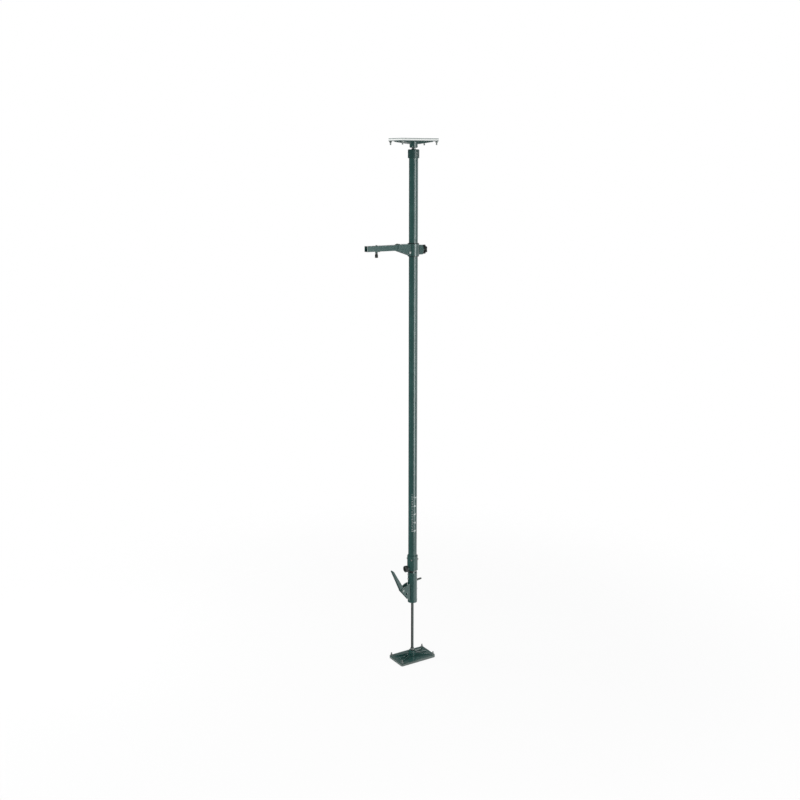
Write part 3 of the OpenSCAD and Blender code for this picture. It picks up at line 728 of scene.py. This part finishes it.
def lathe(name: str, profile: Sequence[tuple[float, float]], steps: int = 64,
          flutes: int = 0, depth: float = 0.0, grip: float = 0.0) -> bpy.types.Object:
    """Turn a closed profile round the Z axis, with finger flutes if they are asked for.

    Args:
        name: The object's name.
        profile: Radius and height of each corner, in metres.
        steps: Facets of the turn.
        flutes: Number of flutes.
        depth: Depth of a flute.
        grip: Radius from which a corner is fluted.

    Returns:
        The turned ring.
    """
    points, faces, count = [], [], len(profile)
    for turn in range(steps):
        angle = 2 * math.pi * turn / steps
        cut = depth * (0.5 + 0.5 * math.cos(flutes * angle)) ** 3
        for radius, height in profile:
            here = radius - cut if radius >= grip else radius
            points.append((here * math.cos(angle), here * math.sin(angle), height))
    for turn in range(steps):
        here, there = turn * count, (turn + 1) % steps * count
        for index in range(count):
            after = (index + 1) % count
            faces.append((here + index, there + index, there + after, here + after))
    piece = mesh_object(name, points, faces)
    clean_normals(piece)
    smooth(piece)
    return piece


def place_mesh(piece: bpy.types.Object, move: Matrix) -> bpy.types.Object:
    """Put a piece's place into its mesh.

    Args:
        piece: The piece.
        move: Where the mesh goes.

    Returns:
        The same piece.
    """
    piece.data.transform(move)
    piece.data.update()
    return piece


# ---- Geometry node trees ----


class Pattern:
    """A geometry node tree with named inputs, built by calls."""

    def __init__(self, name: str, sizes: dict[str, Any]) -> None:
        """Start a tree.

        Args:
            name: The tree's name.
            sizes: Named inputs and their values: a float, an int or a material.
        """
        self.tree = bpy.data.node_groups.new(name, "GeometryNodeTree")
        self.sizes = sizes
        self.ids: dict[str, str] = {}
        face = self.tree.interface
        face.new_socket("Geometry", in_out="INPUT", socket_type="NodeSocketGeometry")
        kinds = {float: "NodeSocketFloat", int: "NodeSocketInt",
                 bpy.types.Material: "NodeSocketMaterial"}
        for label, value in sizes.items():
            item = face.new_socket(label, in_out="INPUT", socket_type=kinds[type(value)])
            self.ids[label] = item.identifier
        face.new_socket("Geometry", in_out="OUTPUT", socket_type="NodeSocketGeometry")
        self.start = self.tree.nodes.new("NodeGroupInput")

    def add(self, kind: str, settings: dict[str, Any] | None = None,
            inputs: dict[Union[str, int], Any] | None = None) -> bpy.types.Node:
        """Add a node.

        Args:
            kind: The node's type.
            settings: Properties of the node, set first.
            inputs: Values or output sockets for its inputs.

        Returns:
            The new node.
        """
        node = self.tree.nodes.new(kind)
        for key, value in (settings or {}).items():
            setattr(node, key, value)
        for key, value in (inputs or {}).items():
            if isinstance(value, bpy.types.NodeSocket):
                self.tree.links.new(value, node.inputs[key])
            else:
                node.inputs[key].default_value = value
        return node

    def math(self, operation: str, first: Any, second: Any = 0.0) -> bpy.types.NodeSocket:
        """Add a Math node and give its result."""
        node = self.add("ShaderNodeMath", {"operation": operation}, {0: first, 1: second})
        return node.outputs[0]

    def size(self, label: str) -> bpy.types.NodeSocket:
        """Give a named input."""
        return self.start.outputs[label]

    def close(self, shape: bpy.types.NodeSocket, material: bpy.types.NodeSocket) -> None:
        """End the tree in real mesh with its material.

        Args:
            shape: The geometry made.
            material: The material's socket.
        """
        real = self.add("GeometryNodeRealizeInstances", None, {"Geometry": shape})
        dressed = self.add("GeometryNodeSetMaterial", None,
                           {"Geometry": real.outputs[0], "Material": material})
        end = self.tree.nodes.new("NodeGroupOutput")
        self.tree.links.new(dressed.outputs[0], end.inputs[0])

    def bake(self, seed: bpy.types.Object, name: str) -> bpy.types.Object:
        """Run the tree on a seed object and keep the result as a plain mesh.

        Args:
            seed: The object whose mesh the tree reads. It is removed.
            name: Name of the finished piece.

        Returns:
            The finished piece.
        """
        modifier = seed.modifiers.new(self.tree.name, "NODES")
        modifier.node_group = self.tree
        for label, value in self.sizes.items():
            modifier[self.ids[label]] = value
        bpy.context.view_layer.update()
        graph = bpy.context.evaluated_depsgraph_get()
        mesh = bpy.data.meshes.new_from_object(seed.evaluated_get(graph))
        seed.modifiers.remove(modifier)
        bpy.data.objects.remove(seed)
        piece = bpy.data.objects.new(name, mesh)
        bpy.context.scene.collection.objects.link(piece)
        return piece


def bead_pattern(bead: float, pitch: float, material: bpy.types.Material) -> Pattern:
    """Weld beads laid along the edges of a path, one overlapping the next.

    Args:
        bead: Half width of a bead, in metres.
        pitch: Distance from bead to bead.
        material: The beads' finish.

    Returns:
        The tree.
    """
    tree = Pattern("WeldBeads", {"Bead": bead, "Pitch": pitch, "Finish": material})
    curve = tree.add("GeometryNodeMeshToCurve", None, {"Mesh": tree.start.outputs[0]})
    spread = tree.add("GeometryNodeResampleCurve", {"mode": "LENGTH"},
                      {"Curve": curve.outputs[0], "Length": tree.size("Pitch")})
    drop = tree.add("GeometryNodeMeshIcoSphere", None,
                    {"Radius": tree.size("Bead"), "Subdivisions": 2})
    wobble = tree.add("FunctionNodeRandomValue", {"data_type": "FLOAT"},
                      {2: 0.85, 3: 1.15, "Seed": 7})
    beads = tree.add("GeometryNodeInstanceOnPoints", None, {
        "Points": spread.outputs[0], "Instance": drop.outputs[0], "Scale": wobble.outputs[1]})
    tree.close(beads.outputs[0], tree.size("Finish"))
    return tree


def tick_pattern(count: int, pitch: float, radius: float, turn: float, low: float,
                 material: bpy.types.Material, short: float, long_share: float) -> Pattern:
    """Ticks of a scale, bent round a tube, each fifth one longer.

    Args:
        count: Number of ticks.
        pitch: Distance from tick to tick.
        radius: Radius of the tube.
        turn: Angle of the scale's root line, from the -Y side.
        low: Height of the lowest tick.
        material: The ink.
        short: Length of a short tick.
        long_share: Length of a long tick over a short one.

    Returns:
        The tree.
    """
    tree = Pattern("ScaleTicks", {
        "Count": count, "Pitch": pitch, "Radius": radius, "Turn": turn, "Low": low,
        "Short": short, "Long Share": long_share, "Finish": material,
    })
    start = tree.add("ShaderNodeCombineXYZ", None, {"Z": tree.size("Low")})
    offset = tree.add("ShaderNodeCombineXYZ", None, {"Z": tree.size("Pitch")})
    line = tree.add("GeometryNodeMeshLine", {"mode": "OFFSET"}, {
        "Count": tree.size("Count"), "Start Location": start.outputs[0],
        "Offset": offset.outputs[0]})
    index = tree.add("GeometryNodeInputIndex").outputs[0]
    rest = tree.math("MODULO", index, 5.0)
    is_long = tree.math("LESS_THAN", rest, 0.5)
    stretch = tree.math("ADD", tree.math("MULTIPLY", is_long,
                                         tree.math("SUBTRACT", tree.size("Long Share"), 1.0)), 1.0)
    scale = tree.add("ShaderNodeCombineXYZ", None, {"X": stretch, "Y": 1.0, "Z": 1.0})
    tick_size = tree.add("ShaderNodeCombineXYZ", None,
                         {"X": tree.size("Short"), "Y": 2 * INK, "Z": 0.0014})
    tick = tree.add("GeometryNodeMeshCube", None, {"Size": tick_size.outputs[0], "Vertices X": 6})
    half = tree.add("ShaderNodeCombineXYZ", None,
                    {"X": tree.math("MULTIPLY", tree.size("Short"), 0.5)})
    moved = tree.add("GeometryNodeTransform", None,
                     {"Geometry": tick.outputs[0], "Translation": half.outputs[0]})
    ticks = tree.add("GeometryNodeInstanceOnPoints", None, {
        "Points": line.outputs[0], "Instance": moved.outputs[0], "Scale": scale.outputs[0]})
    real = tree.add("GeometryNodeRealizeInstances", None, {"Geometry": ticks.outputs[0]})
    where = tree.add("GeometryNodeInputPosition").outputs[0]
    at = tree.add("ShaderNodeSeparateXYZ", None, {0: where})
    along = tree.math("DIVIDE", at.outputs[0], tree.size("Radius"))
    angle = tree.math("ADD", along, tree.size("Turn"))
    reach = tree.math("SUBTRACT", tree.size("Radius"), at.outputs[1])
    bent = tree.add("ShaderNodeCombineXYZ", None, {
        "X": tree.math("MULTIPLY", reach, tree.math("SINE", angle)),
        "Y": tree.math("MULTIPLY", reach, tree.math("MULTIPLY", tree.math("COSINE", angle), -1.0)),
        "Z": at.outputs[2],
    })
    wrapped = tree.add("GeometryNodeSetPosition", None,
                       {"Geometry": real.outputs[0], "Position": bent.outputs[0]})
    tree.close(wrapped.outputs[0], tree.size("Finish"))
    return tree


# ---- Sub-assemblies ----


@dataclass
class Assembly(ABC):
    """A sub-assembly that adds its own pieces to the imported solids."""

    wardrobe: Wardrobe

    @abstractmethod
    def build(self) -> list[bpy.types.Object]:
        """Make the pieces and put each on its body."""

    def attach(self, piece: bpy.types.Object, body: str, slot: Slot) -> bpy.types.Object:
        """Let a piece ride on a body.

        Args:
            piece: The piece.
            body: The body that carries it.
            slot: The record's slot. It is not used.

        Returns:
            The same piece.
        """
        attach(piece, body)
        LOG.info("%s rides on %s: %d faces", piece.name, body, len(piece.data.polygons))
        return piece


def ring_run(radius: float, centre: Point, steps: int) -> Run:
    """Points of a level ring, for a weld.

    Args:
        radius: Radius of the ring.
        centre: Its centre.
        steps: Number of edges.

    Returns:
        One run of points.
    """
    run: Run = []
    for index in range(steps + 1):
        angle = math.radians(360.0 * index / steps)
        shift = (radius * math.cos(angle), radius * math.sin(angle), 0.0)
        run.append(tuple(c + s for c, s in zip(centre, shift)))
    return run


def cheek_runs(tube: float, side_y: float, low: float, high: float, way: int) -> list[Run]:
    """Upright welds where two flat cheeks meet a round tube on the Z axis.

    Args:
        tube: Outer radius of the tube.
        side_y: Distance of each weld from the middle plane.
        low: Height of the lower end.
        high: Height of the upper end.
        way: 1 where the cheeks leave towards +X, -1 towards -X.

    Returns:
        The two runs.
    """
    x = way * math.sqrt(tube ** 2 - side_y ** 2)
    return [[(x, side * side_y, low), (x, side * side_y, high)] for side in (-1, 1)]


@dataclass
class Welds(Assembly):
    """Weld seams of one body, laid along runs of points."""

    body: str
    bead: float = 0.0016
    pitch: float = 0.0019
    runs: list[Run] = field(default_factory=list)

    def build(self) -> list[bpy.types.Object]:
        """Lay the beads."""
        points: list[Point] = []
        edges: list[tuple[int, int]] = []
        for run in self.runs:
            first = len(points)
            points += run
            edges += [(first + i, first + i + 1) for i in range(len(run) - 1)]
        seed = mesh_object("weld_path", points, [], edges)
        tree = bead_pattern(self.bead, self.pitch, self.wardrobe.of("weld"))
        piece = tree.bake(seed, f"{self.body}_welds")
        smooth(piece, 80.0)
        return [self.attach(piece, self.body, Slot.GREEN)]


@dataclass
class LockKnob(Assembly):
    """Fluted knob of the lock screw, close under its boss, in place of the plain one."""

    body: str = "lock_grip"
    centre_x: float = LOCK_X
    low: float = 2.376
    high: float = 2.400
    radius: float = 0.0084
    stud: float = 0.0042
    floor: float = 0.0010
    flutes: int = 8
    flute_depth: float = 0.0011
    steps: int = 96

    def build(self) -> list[bpy.types.Object]:
        """Turn the knob with the blind hole of its stud."""
        z, r, top = self.low, self.radius, self.high
        underside = [(0.0, z), (r - 0.0030, z), (r - 0.0010, z + 0.0006)]
        grip = [(r, z + 0.0020), (r, z + 0.0070), (r, z + 0.0140)]
        neck = [(r - 0.0006, z + 0.0165), (r - 0.0013, z + 0.0180), (r - 0.0013, z + 0.0200)]
        collar = [(r - 0.0004, z + 0.0214), (r - 0.0004, top - 0.0004), (r - 0.0008, top)]
        hole = [(self.stud, top), (self.stud, z + self.floor), (0.0, z + self.floor)]
        profile = underside + grip + neck + collar + hole
        knob = lathe("lock_knob_grip", profile, self.steps, self.flutes, self.flute_depth,
                     grip=r - 0.0001)
        place_mesh(knob, Matrix.Translation((self.centre_x, 0.0, 0.0)))
        knob.data.materials.append(self.wardrobe.of(Slot.PLASTIC))
        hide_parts("lock_knob")
        return [self.attach(knob, self.body, Slot.PLASTIC)]


@dataclass
class DriveSpring(Assembly):
    """Return spring of the drive plate, which shortens as the lever is pumped.

    The kept share is 1 less the plate's travel (21.7 mm) over the spring's height (71.2 mm). It is
    not used.
    """

    body: str = "jack"
    node: str = "drive_spring"
    joint: str = "pump_lever"
    keep: float = 0.69

    def build(self) -> list[bpy.types.Object]:
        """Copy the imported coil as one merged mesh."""
        coil = bpy.data.objects.new("drive_spring_coil", frame["nodes"][self.node].data.copy())
        bpy.context.scene.collection.objects.link(coil)
        work = bmesh.new()
        work.from_mesh(coil.data)
        bmesh.ops.remove_doubles(work, verts=work.verts, dist=MERGE)
        work.to_mesh(coil.data)
        work.free()
        smooth(coil, 50.0)
        coil.data.materials.clear()
        coil.data.materials.append(self.wardrobe.of(Slot.SPRING))
        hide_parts(self.node)
        self.attach(coil, self.body, Slot.SPRING)
        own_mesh(coil)
        return [coil]


@dataclass
class KnobHighlightRing(Assembly):
    """Pressed steel ring set into the face of a knob whose axis lies along X; its light metal
    stands in for the knob's rim highlight, a painted highlight.
    """

    name: str
    body: str
    face: float
    height: float
    inner: float
    outer: float
    depth: float = 0.0006
    lip: float = 0.0003

    def build(self) -> list[bpy.types.Object]:
        """Turn the ring round the knob's axis."""
        profile = [
            (self.inner, self.depth), (self.inner, self.lip), (self.inner + 0.0004, 0.0),
            (self.outer - 0.0005, 0.0), (self.outer, self.lip), (self.outer, self.depth),
        ]
        ring = lathe(self.name, profile, 72)
        turned = Matrix.Rotation(math.radians(90.0), 4, "Y")
        place_mesh(ring, Matrix.Translation((self.face, 0.0, self.height)) @ turned)
        ring.data.materials.append(self.wardrobe.of(Slot.FASTENER))
        return [self.attach(ring, self.body, Slot.FASTENER)]


@dataclass
class PrintedScale(Assembly):
    """White height scale printed on a tube: ticks, and numbers in centimetres."""

    body: str = "mast"
    name: str = "mast_scale"
    slot: Slot = Slot.GREEN
    ink: str = "white_ink"
    radius: float = MAST_RADIUS + 0.00002
    low: float = 0.80
    length: float = 0.22
    pitch: float = 0.01
    first: int = 80
    number_step: int = 5
    turn: float = math.radians(-46.0)
    short: float = 0.006
    long_share: float = 1.7
    letter: float = 0.0135
    letter_gap: float = 0.0025
    strip: float = 0.0008

    def build(self) -> list[bpy.types.Object]:
        """Print the ticks and the numbers."""
        count = round(self.length / self.pitch) + 1
        seed = mesh_object("tick_seed", [(0.0, 0.0, 0.0)], [])
        tree = tick_pattern(count, self.pitch, self.radius, self.turn, self.low,
                            self.wardrobe.of(self.ink), self.short, self.long_share)
        ticks = tree.bake(seed, f"{self.name}_ticks")
        return [self.attach(piece, self.body, self.slot) for piece in (ticks, self.numbers(count))]

    def numbers(self, count: int) -> bpy.types.Object:
        """Print the number beside each long tick.

        Args:
            count: Number of ticks.

        Returns:
            All numbers as one piece.
        """
        parts = []
        for index in range(0, count, self.number_step):
            curve = bpy.data.curves.new("number", "FONT")
            curve.body = str(self.first + round(index * self.pitch * 100))
            curve.size = self.letter
            curve.extrude = INK
            curve.align_x, curve.align_y = "LEFT", "CENTER"
            text = bpy.data.objects.new("number", curve)
            bpy.context.scene.collection.objects.link(text)
            bpy.context.view_layer.update()
            graph = bpy.context.evaluated_depsgraph_get()
            mesh = bpy.data.meshes.new_from_object(text.evaluated_get(graph))
            bpy.data.objects.remove(text)
            start = self.short * self.long_share + self.letter_gap
            self.slice_upright(mesh)
            for corner in mesh.vertices:
                angle = (corner.co.x + start) / self.radius + self.turn
                reach = self.radius + corner.co.z
                height = self.low + index * self.pitch + corner.co.y
                corner.co = (reach * math.sin(angle), -reach * math.cos(angle), height)
            parts.append(mesh)
        work = bmesh.new()
        for mesh in parts:
            work.from_mesh(mesh)
            bpy.data.meshes.remove(mesh)
        bmesh.ops.remove_doubles(work, verts=work.verts, dist=MERGE)
        bmesh.ops.recalc_face_normals(work, faces=work.faces)
        joined = bpy.data.meshes.new(f"{self.name}_numbers")
        work.to_mesh(joined)
        work.free()
        piece = bpy.data.objects.new(f"{self.name}_numbers", joined)
        bpy.context.scene.collection.objects.link(piece)
        piece.data.materials.append(self.wardrobe.of(self.ink))
        return piece

    def slice_upright(self, mesh: bpy.types.Mesh) -> None:
        """Cut flat lettering into narrow upright strips, so that it bends around the tube.

        Args:
            mesh: Lettering in its own flat frame, changed in place.
        """
        work = bmesh.new()
        work.from_mesh(mesh)
        cuts = math.ceil(2.0 * self.letter / self.strip)
        for cut in range(1, cuts):
            bmesh.ops.bisect_plane(work, geom=[*work.verts, *work.edges, *work.faces],
                                   plane_co=(cut * self.strip, 0.0, 0.0), plane_no=(1.0, 0.0, 0.0))
        work.to_mesh(mesh)
        work.free()


@dataclass(frozen=True)
class Softbox:
    """One soft lamp: its angle from the camera (positive to the right), distance and height."""

    name: str
    side: float
    away: float
    height: float
    size: tuple[float, float]
    power: float
    role: LampRole = LampRole.FILL


SOFTBOXES = (
    Softbox("right_softbox", 44.0, 3.1, 1.6, (1.5, 3.8), 94.0, LampRole.SHEEN),
    Softbox("left_softbox", -95.0, 3.0, 1.8, (1.2, 3.4), 56.0),
    Softbox("front_softbox", 10.0, 3.6, 1.8, (1.6, 3.0), 42.0),
    Softbox("top_softbox", 20.0, 1.6, 4.9, (2.4, 2.4), 14.0),
)


@dataclass
class Studio:
    """Pale floor, white surroundings, soft lamps and the camera."""

    far: float = 5.813
    height: float = 2.86
    azimuth: float = -33.0
    pitch: float = 12.52
    aside: float = 0.718
    lens: float = 47.57
    floor_radius: float = 3.2
    unlit: float = 0.1
    ambient: float = 0.56
    glow: float = 0.9
    aim_z: float = 1.6

    def build(self) -> None:
        """Set the whole stage."""
        self.world()
        self.floor()
        self.lamps()
        self.camera()
        view = bpy.context.scene.view_settings
        view.view_transform = "Standard"

    def camera(self) -> None:
        """Place the camera."""
        data = bpy.data.cameras.new("camera")
        data.lens, data.sensor_width = self.lens, 36.0
        camera = bpy.data.objects.new("camera", data)
        bpy.context.scene.collection.objects.link(camera)
        turn = math.radians(self.azimuth)
        camera.location = (self.far * math.sin(turn), -self.far * math.cos(turn), self.height)
        camera.rotation_euler = (math.radians(90.0 - self.pitch), 0.0,
                                 turn + math.radians(self.aside))
        bpy.context.scene.camera = camera

    def shown(self, bench: Bench) -> tuple[Signal, Signal]:
        """Masks of the rays that see the background itself, and of those that mirror it.

        Args:
            bench: The tree that asks.

        Returns:
            1 for camera and transmission rays, and 1 for glossy rays.
        """
        path = bench.add("ShaderNodeLightPath")
        seen = path.signal("Is Camera Ray").either(path.signal("Is Transmission Ray"))
        return seen, path.signal("Is Glossy Ray")

    def lit_side(self, bench: Bench, way: Signal, middle: float, low: float, high: float) -> Signal:
        """How far a direction points to the lit side of the studio.

        Args:
            bench: The tree that asks.
            way: The direction.
            middle: Middle of the lit side, in degrees from the camera, positive to the right.
            low: Cosine from the middle where the light starts.
            high: Cosine where it is full.

        Returns:
            The unlit level, rising to 1.
        """
        turn = math.radians(self.azimuth + middle)
        bright = (math.sin(turn), -math.cos(turn), 0.0)
        lean = bench.vector_math("DOT_PRODUCT", way, bright).signal("Value")
        return lean.step(low, high) * (1.0 - self.unlit) + self.unlit

    def world(self) -> None:
        """White where it is seen, one lit side where it is mirrored, a plain level elsewhere."""
        bench = Bench("surroundings", world=True)
        seen, mirrored = self.shown(bench)
        ray = bench.add("ShaderNodeTexCoord").signal("Generated")
        side = self.lit_side(bench, ray, middle=145.0, low=0.3, high=0.55)
        wall = side * (1.0 - bench.axis("Z", ray).step(0.22, 0.46) * 0.9)
        level = seen.either(mirrored * wall).either((1.0 - mirrored) * self.ambient)
        back = bench.add("ShaderNodeBackground", None, {"Color": WHITE, "Strength": level})
        bench.add("ShaderNodeOutputWorld", None, {"Surface": back.signal(0)})
        bpy.context.scene.world = bench.material

    def floor(self) -> None:
        """Lay a pale round floor that fades into the white around it."""
        steps, radius = 96, self.floor_radius
        turns = [2 * math.pi * index / steps for index in range(steps)]
        points = [(radius * math.cos(turn), radius * math.sin(turn), 0.0) for turn in turns]
        floor = mesh_object("studio_floor", points, [range(steps)])
        bench = Bench("studio_floor")

        def blend(share: Signal, first: Signal, second: Signal) -> Signal:
            """Mix two shaders."""
            return bench.add("ShaderNodeMixShader", None, {0: share, 1: first, 2: second}).signal()

        away = bench.vector_math("LENGTH", bench.place()).signal("Value")
        way = bench.vector_math("NORMALIZE", bench.place()).signal("Vector")
        seen, mirrored = self.shown(bench)
        lit = self.lit_side(bench, way, middle=112.0, low=0.1, high=0.35)
        matt = bench.add("ShaderNodeBsdfDiffuse", None, {"Color": (0.9, 0.9, 0.9, 1.0)}).signal()
        glow = bench.add("ShaderNodeEmission", None, {"Color": WHITE}).signal()
        sheen = bench.add("ShaderNodeEmission", None, {"Strength": lit}).signal()
        clear = bench.add("ShaderNodeBsdfTransparent").signal()
        pale = blend(mirrored, blend(seen * self.glow, matt, glow), sheen)
        fade = away.step(0.35 * radius, 0.98 * radius)
        whole = blend(fade, pale, clear)
        bench.add("ShaderNodeOutputMaterial", None, {"Surface": whole})
        floor.data.materials.append(bench.material)

    def lamps(self) -> None:
        """Hang the softboxes, each turned towards the middle of the prop."""
        for box in SOFTBOXES:
            data = bpy.data.lights.new(box.name, "AREA")
            data.shape = "RECTANGLE"
            data.size, data.size_y = box.size
            data.energy = box.power
            lamp = bpy.data.objects.new(box.name, data)
            bpy.context.scene.collection.objects.link(lamp)
            turn = math.radians(self.azimuth + box.side)
            lamp.location = (box.away * math.sin(turn), -box.away * math.cos(turn), box.height)
            aim = Vector((0.0, 0.0, self.aim_z)) - lamp.location
            lamp.rotation_euler = aim.to_track_quat("-Z", "Y").to_euler()
            lamp.visible_glossy = box.role is LampRole.SHEEN
            lamp.visible_diffuse = box.role is LampRole.FILL


def end_runs(levels: Callable[[float], float]) -> list[Run]:
    """Weld runs of a foot or head: ribs to plate, and the ring round the hub.

    Args:
        levels: Turns a height over the foot's pad into a height of the prop.

    Returns:
        The runs.
    """
    z = levels(0.0155 + 0.0004)
    hub, reach, half, fan = 0.0240, 0.094, 0.0029, 24.0
    runs = [ring_run(hub, (0.0, 0.0, z), 48)]
    for middle in (0.0, 180.0):
        for turn in (-fan, 0.0, fan):
            angle = math.radians(middle + turn)
            along = Vector((math.cos(angle), math.sin(angle), 0))
            across = Vector((-math.sin(angle), math.cos(angle), 0))
            for side in (-1, 1):
                foot = across * (half * side) + Vector((0, 0, z))
                runs.append([tuple(along * r + foot) for r in (hub + 0.002, reach)])
    return runs


def assemblies(wardrobe: Wardrobe) -> list[Assembly]:
    """List the sub-assemblies, in the order they are built.

    Args:
        wardrobe: The finishes.

    Returns:
        The sub-assemblies.
    """
    low, high = (corner.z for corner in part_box("lever_bracket"))
    jack_runs = cheek_runs(JACK_RADIUS, CHEEK_Y, low + 0.006, high - 0.002, -1)
    low, high = (corner.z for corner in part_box("arm_clamp"))
    arm_runs = cheek_runs(CLAMP_RADIUS, SOCKET_Y, low + 0.003, high - 0.001, -1)
    arm_runs += cheek_runs(CLAMP_RADIUS, BOSS_Y, *BOSS_SEAM, 1)
    arm_runs.append(ring_run(LOCK_SEAM_RADIUS, (LOCK_X, 0.0, LOCK_SEAM_Z), LOCK_SEAM_STEPS))
    return [
        Welds(wardrobe, "foot", runs=end_runs(lambda z: z)),
        Welds(wardrobe, "head", runs=end_runs(lambda z: PROP_TOP - z)),
        Welds(wardrobe, "jack", bead=0.0015, pitch=0.0018, runs=jack_runs),
        Welds(wardrobe, "arm", bead=0.0015, pitch=0.0018, runs=arm_runs),
        DriveSpring(wardrobe),
        LockKnob(wardrobe),
        # Painted highlight: light steel rings on the star and collar knobs stand in for their rim
        # highlights
        KnobHighlightRing(wardrobe, "star_knob_highlight_ring", "star_grip",
                  face=0.05995, height=ARM_LEVEL, inner=0.0068, outer=0.0180),
        KnobHighlightRing(wardrobe, "collar_knob_highlight_ring", "collar_grip",
                  face=-0.05305, height=COLLAR_LEVEL, inner=0.0136, outer=0.0171),
        PrintedScale(wardrobe),
    ]


def main() -> None:
    """Build the prop's looks in order."""
    logging.basicConfig(level=logging.INFO, format="%(name)s: %(message)s")
    wardrobe = Wardrobe()
    wardrobe.dress_solids()
    for assembly in assemblies(wardrobe):
        assembly.build()
    Studio().build()


if __name__ == "__main__":
    main()
